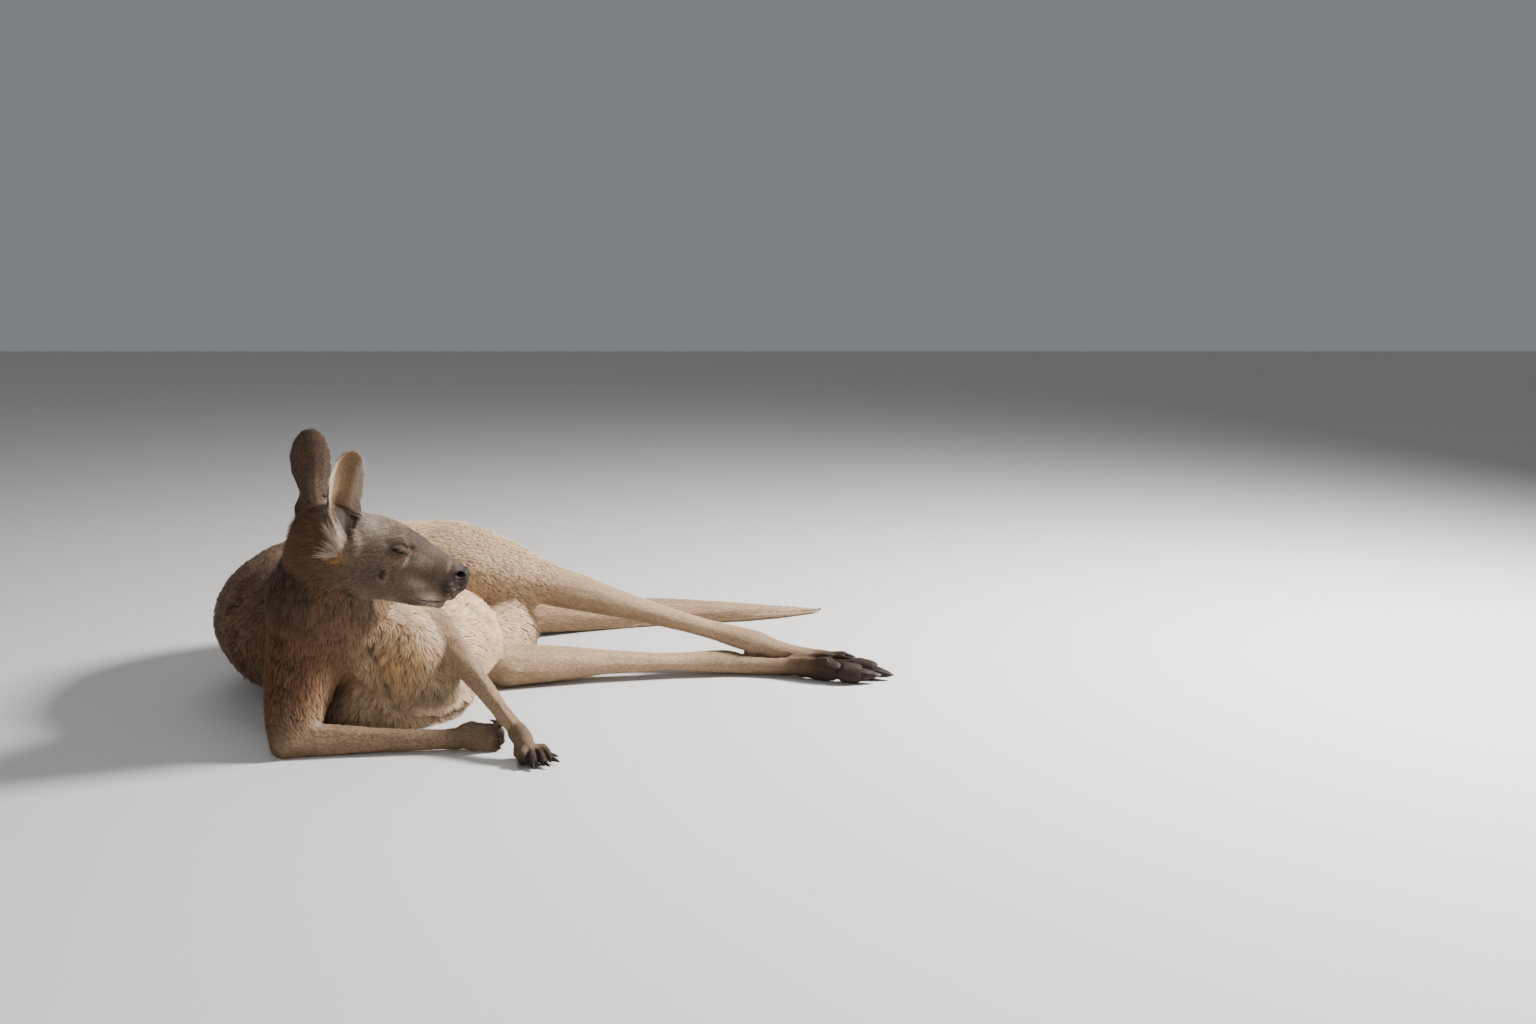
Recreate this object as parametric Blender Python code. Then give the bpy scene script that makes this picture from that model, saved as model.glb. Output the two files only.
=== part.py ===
"""A male red kangaroo at life size, resting: it lies on its right side with both hind legs stretched out,
props its chest on the right elbow, plants the left hand in front and looks past it over the legs.

Frame: metres, +Z up. The hind feet point along +X and the belly faces -Y. Every mass of flesh is shaped from
smooth tubes and rounded lumps, merged into one surface and then parted at the joints by thin cuts.
"""

import math

import bmesh
import bpy
import numpy as np
from mathutils import Matrix, Vector

# Driving sizes of the animal, in metres.
HEAD_LENGTH = 0.252
EAR_LENGTH = 0.180
EAR_WIDTH = 0.078
EAR_THICKNESS = 0.0034
EYE_RADIUS = 0.0125
TAIL_ROOT_RADIUS = 0.074
FOURTH_TOE_CLAW = 0.052
FINGER_CLAW = 0.017
BODY_DEPTH = 0.182  # half of the trunk, back to belly
BODY_WIDTH = 0.157  # half of the trunk, flank to flank

# How the surface is made and parted.
CUT = 0.0006  # the gap between two pieces of flesh
CLEARANCE = 0.0005  # the gap round an eye, a claw, the nose or an ear's root
BODY_VOXEL = 0.0055
HEAD_VOXEL = 0.003
LIMB_VOXEL = 0.0028

UP, DOWN = Vector((0, 0, 1)), Vector((0, 0, -1))

# Where the joints lie in the resting pose.
JOINTS = {
    "pelvis": Vector((-0.27, 0.18, 0.155)),
    "loin": Vector((-0.41, 0.12, 0.155)),
    "back": Vector((-0.513, -0.01, 0.152)),
    "ribs": Vector((-0.505, -0.17, 0.152)),
    "chest": Vector((-0.44, -0.30, 0.165)),
    "withers": Vector((-0.37, -0.40, 0.205)),
    "breast": Vector((-0.25, -0.43, 0.170)),
    "neck": Vector((-0.352, -0.50, 0.275)),
    "nape": Vector((-0.330, -0.545, 0.350)),
    "occiput": Vector((-0.318, -0.572, 0.398)),
    "tail_root": Vector((-0.16, 0.315, 0.085)),
    "tail_quarter": Vector((0.06, 0.430, 0.042)),
    "tail_half": Vector((0.25, 0.487, 0.033)),
    "tail_far": Vector((0.44, 0.524, 0.022)),
    "tail_tip": Vector((0.597, 0.602, 0.010)),
    "hip_left": Vector((-0.27, 0.15, 0.225)),
    "knee_left": Vector((-0.045, 0.075, 0.188)),
    "ankle_left": Vector((0.425, 0.002, 0.070)),
    "hip_right": Vector((-0.27, 0.15, 0.080)),
    "knee_right": Vector((-0.095, -0.100, 0.048)),
    "ankle_right": Vector((0.365, -0.012, 0.029)),
    "shoulder_left": Vector((-0.300, -0.335, 0.255)),
    "elbow_left": Vector((-0.180, -0.385, 0.200)),
    "wrist_left": Vector((0.019, -0.600, 0.042)),
    "shoulder_right": Vector((-0.398, -0.45, 0.195)),
    "elbow_right": Vector((-0.408, -0.575, 0.030)),
    "wrist_right": Vector((-0.105, -0.552, 0.024)),
}

# Surfaces: name, colour, roughness.
COAT = ("coat_grey_brown", (0.30, 0.22, 0.17), 0.9)
PALE_COAT = ("coat_pale", (0.56, 0.47, 0.37), 0.9)
DARK_COAT = ("coat_dark", (0.10, 0.075, 0.06), 0.85)
BARE_SKIN = ("bare_skin", (0.05, 0.042, 0.04), 0.45)
HORN = ("horn", (0.07, 0.06, 0.055), 0.4)
WET_EYE = ("wet_eye", (0.03, 0.018, 0.012), 0.08)


# Curves, shapes and materials ------------------------------------------------------------------


def smooth_through(values, steps):
    """A Catmull-Rom curve through the rows of values, with this many steps to each span."""
    rows = np.array(values, float)
    padded = np.vstack([2 * rows[0] - rows[1], rows, 2 * rows[-1] - rows[-2]])
    out = []
    for i in range(len(rows) - 1):
        a, b, c, d = padded[i : i + 4]
        for t in np.arange(steps) / steps:
            bend = 2 * a - 5 * b + 4 * c - d + t * (3 * (b - c) + d - a)
            out.append(b + 0.5 * t * (c - a + t * bend))
    out.append(rows[-1])
    return np.array(out)


def material(look):
    name, colour, roughness = look
    made = bpy.data.materials.get(name)
    if made is None:
        made = bpy.data.materials.new(name)
        made.use_nodes = True
        shader = made.node_tree.nodes["Principled BSDF"]
        shader.inputs["Base Color"].default_value = (*colour, 1)
        shader.inputs["Roughness"].default_value = roughness
    return made


def add_mesh(name, mesh, look):
    mesh.materials.clear()
    mesh.materials.append(material(look))
    made = bpy.data.objects.new(name, mesh)
    bpy.context.scene.collection.objects.link(made)
    return made


def add_shape(name, shape, look):
    """An object from a bmesh, which is freed."""
    bmesh.ops.recalc_face_normals(shape, faces=shape.faces)
    mesh = bpy.data.meshes.new(name)
    shape.to_mesh(mesh)
    shape.free()
    return add_mesh(name, mesh, look)


def add_cutter(name, shape):
    cutter = add_shape(name, shape, COAT)
    cutter.hide_render = True
    cutter.display_type = "WIRE"
    return cutter


def tube(shape, stations, side, sides=24, steps=6, cap=(15, 40, 65)):
    """Adds a closed tube of flesh to the bmesh. A station is (centre, half width along side, half width
    across it), and may end with its own side. The cap angles round off both ends."""
    rows = []
    for station in stations:
        centre, along, across = station[:3]
        own_side = station[3] if len(station) > 3 else side
        rows.append([*centre, along, across, *own_side])
    rows = smooth_through(rows, steps)
    tangents = np.gradient(rows[:, :3], axis=0)
    rings = []

    def add_ring(row, tangent, shift=0.0, scale=1.0):
        forward = Vector(tangent).normalized()
        lateral = Vector(row[5:8])
        lateral = (lateral - lateral.dot(forward) * forward).normalized()
        upward = forward.cross(lateral)
        centre = Vector(row[:3]) + forward * shift
        ring = []
        for k in range(sides):
            angle = 2 * math.pi * k / sides
            spoke = lateral * row[3] * math.cos(angle) + upward * row[4] * math.sin(angle)
            ring.append(shape.verts.new(centre + spoke * scale))
        rings.append(ring)

    for angle in map(math.radians, cap):
        add_ring(rows[0], tangents[0], -min(rows[0][3:5]) * math.cos(angle), math.sin(angle))
    for row, tangent in zip(rows, tangents):
        add_ring(row, tangent)
    for angle in map(math.radians, reversed(cap)):
        add_ring(rows[-1], tangents[-1], min(rows[-1][3:5]) * math.cos(angle), math.sin(angle))
    for near, far in zip(rings, rings[1:]):
        for k in range(sides):
            n = (k + 1) % sides
            shape.faces.new((near[k], near[n], far[n], far[k]))
    shape.faces.new(list(reversed(rings[0])))
    shape.faces.new(rings[-1])


def lump(shape, centre, radii, forward=(1, 0, 0), up=(0, 0, 1)):
    """Adds a rounded mass: radii run along forward, along the side and along up."""
    x = Vector(forward).normalized()
    z = Vector(up)
    z = (z - z.dot(x) * x).normalized()
    turn = Matrix((x, z.cross(x), z)).transposed().to_4x4()
    place = Matrix.Translation(centre) @ turn @ Matrix.Diagonal((*radii, 1))
    bmesh.ops.create_icosphere(shape, subdivisions=3, radius=1, matrix=place)


def evaluated_mesh(obj, name):
    """The object's mesh with its modifiers applied. The object is removed."""
    graph = bpy.context.evaluated_depsgraph_get()
    mesh = bpy.data.meshes.new_from_object(obj.evaluated_get(graph))
    mesh.name = name
    bpy.data.objects.remove(obj)
    return mesh


def merge_flesh(name, shape, voxel, rounds, triangles, look):
    """One smooth closed surface from overlapping tubes and lumps, thinned to about this many triangles."""
    clay = add_shape(name, shape, look)
    remesh = clay.modifiers.new("Merge", "REMESH")
    remesh.mode = "VOXEL"
    remesh.voxel_size = voxel
    soften = clay.modifiers.new("Soften", "SMOOTH")
    soften.factor = 0.5
    soften.iterations = rounds
    merged = add_mesh(name, evaluated_mesh(clay, name), look)
    thin = merged.modifiers.new("Thin", "DECIMATE")
    thin.ratio = triangles / (2 * len(merged.data.polygons))
    return add_mesh(name, evaluated_mesh(merged, name), look)


# Cutting and parting ------------------------------------------------------------------------------


def boolean(obj, cutter, operation, name=None, look=None):
    """A new object: this one cut by the cutter. Both given objects stay."""
    copy = bpy.data.objects.new(obj.name + "_copy", obj.data.copy())
    bpy.context.scene.collection.objects.link(copy)
    change = copy.modifiers.new("Change", "BOOLEAN")
    change.operation = operation
    change.object = cutter
    name = name or obj.name
    mesh = evaluated_mesh(copy, name)
    shape = bmesh.new()
    shape.from_mesh(mesh)
    bmesh.ops.remove_doubles(shape, verts=shape.verts, dist=2e-5)
    bmesh.ops.dissolve_degenerate(shape, edges=shape.edges, dist=2e-5)
    bmesh.ops.triangulate(shape, faces=shape.faces)
    shape.to_mesh(mesh)
    shape.free()
    made = add_mesh(name, mesh, look or COAT)
    if look is None:
        made.data.materials[0] = obj.data.materials[0]
    return made


def replace(old, new):
    """Puts the new object in the old one's place, under its name."""
    name = old.name
    bpy.data.objects.remove(old)
    new.name = name
    return new


def keep_largest(obj):
    """Drops everything but the largest separate body of the mesh."""
    whole = bmesh.new()
    whole.from_mesh(obj.data)
    unseen, pieces = set(whole.verts), []
    while unseen:
        seed = unseen.pop()
        reached, front = {seed}, [seed]
        while front:
            for edge in front.pop().link_edges:
                for other in edge.verts:
                    if other in unseen:
                        unseen.discard(other)
                        reached.add(other)
                        front.append(other)
        pieces.append(reached)
    pieces.sort(key=len)
    for scrap in pieces[:-1]:
        bmesh.ops.delete(whole, geom=list(scrap), context="VERTS")
    whole.to_mesh(obj.data)
    whole.free()
    return obj


def grown(obj, by):
    """A cutter: a copy of the object, grown by this much all round."""
    copy = bpy.data.objects.new(obj.name + "_grown", obj.data.copy())
    bpy.context.scene.collection.objects.link(copy)
    grow = copy.modifiers.new("Grow", "DISPLACE")
    grow.mid_level = 0
    grow.strength = by
    cutter = add_mesh(obj.name + "_grown", evaluated_mesh(copy, obj.name), COAT)
    cutter.hide_render = True
    cutter.display_type = "WIRE"
    return cutter


def make_room(obj, others, by=CLEARANCE):
    """Takes the other objects, with a little clearance, out of this one."""
    for other in others:
        cutter = grown(other, by)
        obj = replace(obj, boolean(obj, cutter, "DIFFERENCE"))
        bpy.data.objects.remove(cutter)
    return keep_largest(obj)


def half_space(point, normal):
    """A cutter: a large block that fills the side of the plane the normal points to."""
    shape = bmesh.new()
    turn = Vector(normal).to_track_quat("Z", "Y").to_matrix().to_4x4()
    place = Matrix.Translation(point) @ turn @ Matrix.Translation((0, 0, 1.5)) @ Matrix.Scale(3, 4)
    bmesh.ops.create_cube(shape, size=1, matrix=place)
    return add_cutter("half_space", shape)


def split(obj, point, normal, ahead, behind):
    """Parts the object at a plane. ahead and behind are the two pieces' (name, look)."""
    normal = Vector(normal).normalized()
    pieces = []
    for (name, look), shift, operation in ((ahead, CUT / 2, "INTERSECT"), (behind, -CUT / 2, "DIFFERENCE")):
        block = half_space(Vector(point) + normal * shift, normal)
        pieces.append(keep_largest(boolean(obj, block, operation, name, look)))
        bpy.data.objects.remove(block)
    bpy.data.objects.remove(obj)
    return pieces


def below_cut(obj, point, normal):
    """Keeps what lies behind the plane."""
    block = half_space(Vector(point) - Vector(normal).normalized() * CUT / 2, normal)
    kept = keep_largest(replace(obj, boolean(obj, block, "DIFFERENCE")))
    bpy.data.objects.remove(block)
    return kept


def above_cut(obj, point, normal):
    """Keeps what lies ahead of the plane."""
    return below_cut(obj, point, -Vector(normal))


# The body: trunk, neck, tail, thighs and arms ---------------------------------------------------

SHOULDER_LINE = Vector((0.62, 0.40, 0.62))


def add_trunk(shape):
    tube(
        shape,
        [
            (JOINTS["tail_root"].lerp(JOINTS["pelvis"], 0.45), 0.100, 0.100),
            (JOINTS["pelvis"], 0.98 * BODY_WIDTH, 0.90 * BODY_DEPTH),
            (JOINTS["loin"], BODY_WIDTH, 0.99 * BODY_DEPTH),
            (JOINTS["back"], BODY_WIDTH, BODY_DEPTH, UP.lerp(SHOULDER_LINE, 0.05)),
            (JOINTS["ribs"], 0.93 * BODY_WIDTH, 0.95 * BODY_DEPTH, UP.lerp(SHOULDER_LINE, 0.3)),
            (JOINTS["chest"], 0.86 * BODY_WIDTH, 0.84 * BODY_DEPTH, UP.lerp(SHOULDER_LINE, 0.7)),
            (JOINTS["withers"], 0.76 * BODY_WIDTH, 0.62 * BODY_DEPTH, SHOULDER_LINE),
        ],
        UP,
        sides=32,
    )
    lump(shape, (-0.275, -0.19, 0.115), (0.190, 0.235, 0.128))  # belly
    lump(shape, (-0.290, -0.305, 0.050), (0.180, 0.145, 0.085))  # belly skin slumped on the ground
    lump(shape, JOINTS["breast"], (0.110, 0.075, 0.090), (1, -0.5, -0.3))
    lump(shape, (-0.188, -0.440, 0.093), (0.078, 0.058, 0.052), (1, -0.2, -0.12))  # slack breast skin
    lump(shape, (-0.110, 0.02, 0.085), (0.075, 0.085, 0.075), (1, -0.4, 0))  # groin


def add_neck(shape):
    tube(
        shape,
        [
            (JOINTS["withers"] + Vector((0, 0.02, -0.01)), 0.115, 0.125),
            (JOINTS["neck"], 0.105, 0.103),
            (JOINTS["nape"], 0.080, 0.080),
            (JOINTS["nape"].lerp(JOINTS["occiput"], 1.1), 0.066, 0.062),
        ],
        Vector((1, 0.15, 0)),
    )


def add_tail(shape):
    stations = [(JOINTS["pelvis"].lerp(JOINTS["tail_root"], 0.5), 0.130, 0.128)]
    for name, share in (("root", 1.0), ("quarter", 0.61), ("half", 0.455), ("far", 0.31), ("tip", 0.12)):
        stations.append((JOINTS[f"tail_{name}"], TAIL_ROOT_RADIUS * share, TAIL_ROOT_RADIUS * share))
    tube(shape, stations, UP)


def thigh_stations(side):
    """The massive thigh, from the rump to just below the knee."""
    hip, knee, ankle = (JOINTS[f"{name}_{side}"] for name in ("hip", "knee", "ankle"))
    girth = 1.0 if side == "left" else 0.92
    profile = (
        (hip, 0.095, 0.145),
        (hip.lerp(knee, 0.35), 0.088, 0.130),
        (hip.lerp(knee, 0.75), 0.070, 0.094),
        (knee, 0.053, 0.062),
        (knee.lerp(ankle, 0.12), 0.046, 0.050),
    )
    return [(centre, along * girth, across * girth) for centre, along, across in profile]


def shank_stations(side, first=0):
    """Knee to ankle: full calf, then the thin shin with the tendon standing off behind it."""
    knee, ankle = JOINTS[f"knee_{side}"], JOINTS[f"ankle_{side}"]
    profile = (
        (0.0, 0.051, 0.058, 0.0),
        (0.14, 0.045, 0.050, 0.002),
        (0.30, 0.037, 0.042, 0.004),
        (0.48, 0.0285, 0.033, 0.004),
        (0.68, 0.0235, 0.028, 0.002),
        (0.86, 0.0235, 0.029, 0.004),
        (1.0, 0.0265, 0.033, 0.004),
    )
    return [
        (knee.lerp(ankle, share) + Vector((0, back, 0)), along, across)
        for share, along, across, back in profile[first:]
    ]


def upper_arm_stations(side):
    shoulder, elbow = JOINTS[f"shoulder_{side}"], JOINTS[f"elbow_{side}"]
    girth = 0.80 if side == "left" else 1.0
    profile = ((0.0, 0.078, 0.088), (0.45, 0.068, 0.074), (0.85, 0.052, 0.056), (1.0, 0.040, 0.043))
    return [(shoulder.lerp(elbow, share), along * girth, across * girth) for share, along, across in profile]


def forearm_stations(side, first=0):
    elbow, wrist = JOINTS[f"elbow_{side}"], JOINTS[f"wrist_{side}"]
    profile = (
        (0.0, 0.034, 0.036),
        (0.14, 0.030, 0.034),
        (0.36, 0.0245, 0.028),
        (0.60, 0.0205, 0.0225),
        (0.84, 0.0180, 0.0200),
        (1.0, 0.0190, 0.0215),
    )
    return [(elbow.lerp(wrist, share), along, across) for share, along, across in profile[first:]]


def make_body():
    shape = bmesh.new()
    add_trunk(shape)
    add_neck(shape)
    add_tail(shape)
    tube(shape, shank_stations("right"), UP)
    tube(shape, shank_stations("left")[:3], UP)
    for side in ("left", "right"):
        tube(shape, thigh_stations(side), UP)
        tube(shape, upper_arm_stations(side), Vector((1, 0.2, 0)))
        tube(shape, forearm_stations(side), Vector((0, 1, 0)))
    return merge_flesh("body", shape, BODY_VOXEL, 10, 1560, COAT)


# The head -----------------------------------------------------------------------------------------

HEAD_YAW, HEAD_PITCH, HEAD_ROLL = math.radians(13), math.radians(-17), math.radians(8)
HEAD_PLACE = (
    Matrix.Translation(JOINTS["occiput"])
    @ Matrix.Rotation(HEAD_YAW, 4, "Z")
    @ Matrix.Rotation(-HEAD_PITCH, 4, "Y")
    @ Matrix.Rotation(HEAD_ROLL, 4, "X")
)


def on_head(forward, left, up):
    """A place on the head: forward, left and up from the occiput as shares of the head's length."""
    return HEAD_PLACE @ (Vector((forward, left, up)) * HEAD_LENGTH)


def head_direction(forward, left, up):
    return (HEAD_PLACE.to_3x3() @ Vector((forward, left, up))).normalized()


# The right ear is pricked forwards and the left one is turned back.
EAR_ROOTS = {"right": on_head(0.155, -0.150, 0.00), "left": on_head(-0.080, 0.160, 0.00)}
EAR_AXES = {"right": Vector((0.012, -0.020, 0.170)), "left": Vector((-0.016, 0.015, 0.180))}


def make_head():
    shape = bmesh.new()
    ahead, left, up = head_direction(1, 0, 0), head_direction(0, 1, 0), head_direction(0, 0, 1)
    skull = (  # share of the length, height of the middle, half width, half height
        (0.06, -0.02, 0.185, 0.205),
        (0.20, 0.005, 0.215, 0.250),
        (0.36, -0.005, 0.220, 0.262),
        (0.50, -0.03, 0.195, 0.252),
        (0.62, -0.05, 0.165, 0.230),
        (0.74, -0.06, 0.135, 0.195),
        (0.85, -0.06, 0.118, 0.165),
        (0.925, -0.06, 0.103, 0.138),
        (0.955, -0.06, 0.086, 0.110),
    )
    tube(
        shape,
        [(on_head(s, 0, h), w * HEAD_LENGTH, t * HEAD_LENGTH) for s, h, w, t in skull],
        left,
        sides=32,
        cap=(35, 65),
    )
    jaw = (
        (0.26, -0.215, 0.140, 0.145),
        (0.50, -0.245, 0.108, 0.110),
        (0.72, -0.240, 0.080, 0.082),
        (0.85, -0.238, 0.062, 0.072),
    )
    tube(shape, [(on_head(s, 0, h), w * HEAD_LENGTH, t * HEAD_LENGTH) for s, h, w, t in jaw], left)
    for hand in (-1, 1):
        for place, radii in (
            ((0.33, 0.130 * hand, -0.165), (0.195, 0.090, 0.155)),  # cheek muscle
            ((0.47, 0.146 * hand, 0.132), (0.085, 0.044, 0.040)),  # brow
            ((0.87, 0.062 * hand, -0.130), (0.105, 0.062, 0.085)),  # upper lip
        ):
            lump(shape, on_head(*place), Vector(radii) * HEAD_LENGTH, ahead, up)
    for side in ("left", "right"):
        lump(shape, EAR_ROOTS[side] + EAR_AXES[side] * 0.05, (0.037, 0.031, 0.031), EAR_AXES[side], left)
    add_neck(shape)
    return merge_flesh("head", shape, HEAD_VOXEL, 10, 900, COAT)


def make_eye(side, hand):
    shape = bmesh.new()
    place = Matrix.Translation(on_head(0.483, 0.152 * hand, 0.088))
    bmesh.ops.create_uvsphere(shape, u_segments=10, v_segments=7, radius=EYE_RADIUS, matrix=place)
    return add_shape(f"eye_{side}", shape, WET_EYE)


def make_nose():
    shape = bmesh.new()
    radii = Vector((0.050, 0.088, 0.070)) * HEAD_LENGTH
    lump(shape, on_head(0.968, 0, -0.015), radii, head_direction(1, 0, -0.15), head_direction(0, 0, 1))
    return merge_flesh("nose", shape, HEAD_VOXEL, 2, 120, BARE_SKIN)


def make_ear(side, root, axis, facing):
    """A leaf rolled into a cone at its root. facing is where the hollow looks."""
    axis = axis.normalized()
    facing = (facing - facing.dot(axis) * axis).normalized()
    across = axis.cross(facing)
    outline = (  # share of the length, half width, half of the angle the leaf is rolled over, lean back
        (0.0, 0.88, 158, -0.05),
        (0.14, 0.91, 140, -0.055),
        (0.28, 0.88, 112, -0.05),
        (0.42, 0.90, 86, -0.04),
        (0.58, 0.99, 66, -0.03),
        (0.74, 1.00, 54, -0.02),
        (0.88, 0.82, 46, 0.00),
        (0.965, 0.50, 40, 0.02),
        (1.0, 0.18, 36, 0.03),
    )
    rings, columns = [], 7
    shape = bmesh.new()
    for share, width, roll, lean in smooth_through(outline, 1):
        spread = math.radians(roll)
        half = EAR_WIDTH / 2 * width
        radius = half / math.sin(min(spread, math.pi / 2))
        middle = root + (axis * share + facing * lean) * EAR_LENGTH
        ring = []
        for k in range(columns):
            angle = spread * (2 * k / (columns - 1) - 1)
            away = radius * (math.cos(min(spread, math.pi / 2)) - math.cos(angle))
            ring.append(shape.verts.new(middle + across * radius * math.sin(angle) + facing * away))
        rings.append(ring)
    for low, high in zip(rings, rings[1:]):
        for k in range(columns - 1):
            shape.faces.new((low[k], low[k + 1], high[k + 1], high[k]))
    leaf = add_shape(f"ear_{side}", shape, DARK_COAT)
    wall = leaf.modifiers.new("Wall", "SOLIDIFY")
    wall.thickness = EAR_THICKNESS
    wall.offset = 0
    thick = bmesh.new()
    thick.from_mesh(evaluated_mesh(leaf, "leaf"))
    bmesh.ops.triangulate(thick, faces=thick.faces)
    return add_shape(f"ear_{side}", thick, DARK_COAT)


# Hands, feet and claws --------------------------------------------------------------------------


def make_claw(name, root, along, bend, length, radius):
    """A curved claw: it leaves root along one direction and bends to its tip."""
    shape = bmesh.new()
    stations = []
    for share, girth in ((0, 1.0), (0.4, 0.86), (0.75, 0.52), (1.0, 0.10)):
        centre = root + along * length * share + bend * length * 0.30 * share * share
        stations.append((centre, radius * girth * 0.85, radius * girth))
    tube(shape, stations, along.cross(bend), sides=6, steps=1, cap=())
    return add_shape(name, shape, HORN)


def make_left_hand():
    """Planted on the ground with the fingers spread."""
    wrist = JOINTS["wrist_left"]
    reach = Vector((0.50, -0.50, 0)).normalized()
    sideways = Vector((-reach.y, reach.x, 0))
    palm = wrist + reach * 0.018 + Vector((0, 0, -0.024))
    shape = bmesh.new()
    arm = forearm_stations("left", 2)[:-1] + [(wrist, 0.018, 0.020), (palm + UP * 0.008, 0.021, 0.014)]
    tube(shape, arm, Vector((0, 1, 0)))
    lump(shape, palm, (0.034, 0.027, 0.017), reach)
    claws = []
    fingers = ((-56, 0.018), (-26, 0.026), (2, 0.030), (30, 0.029), (62, 0.022))  # turn, length
    for number, (turn, length) in enumerate(fingers, 1):
        angle = math.radians(turn)
        out = reach * math.cos(angle) + sideways * math.sin(angle)
        start, knuckle, tip = (palm + out * (0.016 + length * share) for share in (0, 0.5, 1))
        knuckle.z += 0.007
        tip.z = 0.0095
        tube(shape, [(start, 0.011, 0.012), (knuckle, 0.0095, 0.0105), (tip, 0.008, 0.009)], UP, 12, 4)
        claws.append(make_claw(f"finger_claw_left_{number}", tip, out, DOWN, FINGER_CLAW, 0.0048))
    return merge_flesh("hand_left", shape, LIMB_VOXEL, 3, 330, DARK_COAT), claws


def make_right_hand():
    """Lying on its outer edge, with the fingers curled in."""
    wrist = JOINTS["wrist_right"]
    shape = bmesh.new()
    tube(shape, forearm_stations("right", 2), Vector((0, 1, 0)))
    lump(shape, wrist + Vector((0.030, 0, 0.006)), (0.040, 0.021, 0.029))
    claws = []
    for number in range(1, 6):
        lift = -0.016 + 0.0105 * (number - 1)
        reach = 0.084 - 0.004 * abs(number - 3)
        start = wrist + Vector((0.050, -0.006, lift))
        knuckle = wrist + Vector((reach, -0.002, lift - 0.002))
        tip = wrist + Vector((reach - 0.012, 0.026, lift - 0.002))
        tube(shape, [(start, 0.010, 0.010), (knuckle, 0.009, 0.009), (tip, 0.0075, 0.0075)], UP, 12, 4)
        name, curl, inwards = f"finger_claw_right_{number}", Vector((-0.55, 0.83, 0)), Vector((-1, 0, 0))
        claws.append(make_claw(name, tip, curl, inwards, FINGER_CLAW, 0.0038))
    return merge_flesh("hand_right", shape, LIMB_VOXEL, 3, 340, DARK_COAT), claws


def make_foot(side, line, sole, medial):
    """The long narrow foot along a line from the ankle to the tip of the fourth toe's flesh. sole points
    out of its underside and medial towards the small second and third toes."""
    ankle, knee = JOINTS[f"ankle_{side}"], JOINTS[f"knee_{side}"]
    line = [Vector(point) for point in line]
    shape = bmesh.new()
    tube(shape, shank_stations(side, 3), UP)
    heel = ankle + (ankle - knee).normalized() * 0.010 + sole * 0.024
    lump(shape, heel, (0.036, 0.019, 0.021), line[0] - ankle, sole)
    widths = ((0.020, 0.021), (0.020, 0.021), (0.024, 0.022), (0.022, 0.022), (0.020, 0.020))
    tube(
        shape,
        [(ankle + sole * 0.004, 0.026, 0.029)] + [(point, *width) for point, width in zip(line, widths)],
        medial,
    )
    ahead = (line[-1] - line[-2]).normalized()
    name, root = f"toe_claw_{side}_fourth", line[-1] + ahead * 0.004
    claws = [make_claw(name, root, ahead, sole * 0.5, FOURTH_TOE_CLAW, 0.0165)]
    toes = (  # name, first and last point of the line, aside, under, radius, claw's length and radius
        ("fifth", 2, 3, -0.020, 0.000, 0.0110, 0.024, 0.0068),
        ("third", 1, 3, 0.024, -0.008, 0.0085, 0.014, 0.0036),
        ("second", 1, 3, 0.031, 0.009, 0.0080, 0.014, 0.0036),
    )
    for toe, first, last, aside, under, radius, claw_length, claw_radius in toes:
        base = line[first] + medial * aside * 0.6 + sole * under
        point = line[last - 1].lerp(line[last], 0.5) + medial * aside + sole * under
        for place in (base, point):
            place.z = max(place.z, radius * 0.92)
        middle, tip = base.lerp(point, 0.6), radius * 0.9
        tube(shape, [(base, radius, radius), (middle, radius, radius), (point, tip, tip)], UP, 12, 3)
        claws.append(make_claw(f"toe_claw_{side}_{toe}", point, ahead, sole, claw_length, claw_radius))
    return merge_flesh(f"foot_{side}", shape, LIMB_VOXEL, 3, 340, DARK_COAT), claws


# Putting it together ------------------------------------------------------------------------------

FOOT_LINES = {
    "right": (
        (0.44, -0.018, 0.022),
        (0.51, -0.035, 0.024),
        (0.56, -0.058, 0.026),
        (0.612, -0.082, 0.026),
        (0.645, -0.086, 0.023),
    ),
    "left": (
        (0.49, 0.000, 0.051),
        (0.55, -0.004, 0.038),
        (0.60, -0.015, 0.031),
        (0.650, -0.035, 0.025),
        (0.679, -0.048, 0.020),
    ),
}


def take_limb(body, name, look, stations, side, spare):
    """Parts a limb off the body with a sleeve round its line, wider than the limb by spare: (limb, body)."""
    results = []
    for room, operation in ((spare, "INTERSECT"), (spare + CUT, "DIFFERENCE")):
        shape = bmesh.new()
        tube(shape, [(centre, a + room, b + room) for centre, a, b in stations], side, 12, 1, cap=(25, 60))
        sleeve = add_cutter("sleeve", shape)
        results.append(keep_largest(boolean(body, sleeve, operation)))
        bpy.data.objects.remove(sleeve)
    limb, rest = results
    limb.name = name
    limb.data.materials[0] = material(look)
    return limb, replace(body, rest)


def flatten_on_floor(pieces):
    """Cuts every piece level where it rests."""
    ground = half_space((0, 0, 0), DOWN)
    flat = [keep_largest(replace(piece, boolean(piece, ground, "DIFFERENCE"))) for piece in pieces]
    bpy.data.objects.remove(ground)
    return flat


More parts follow.
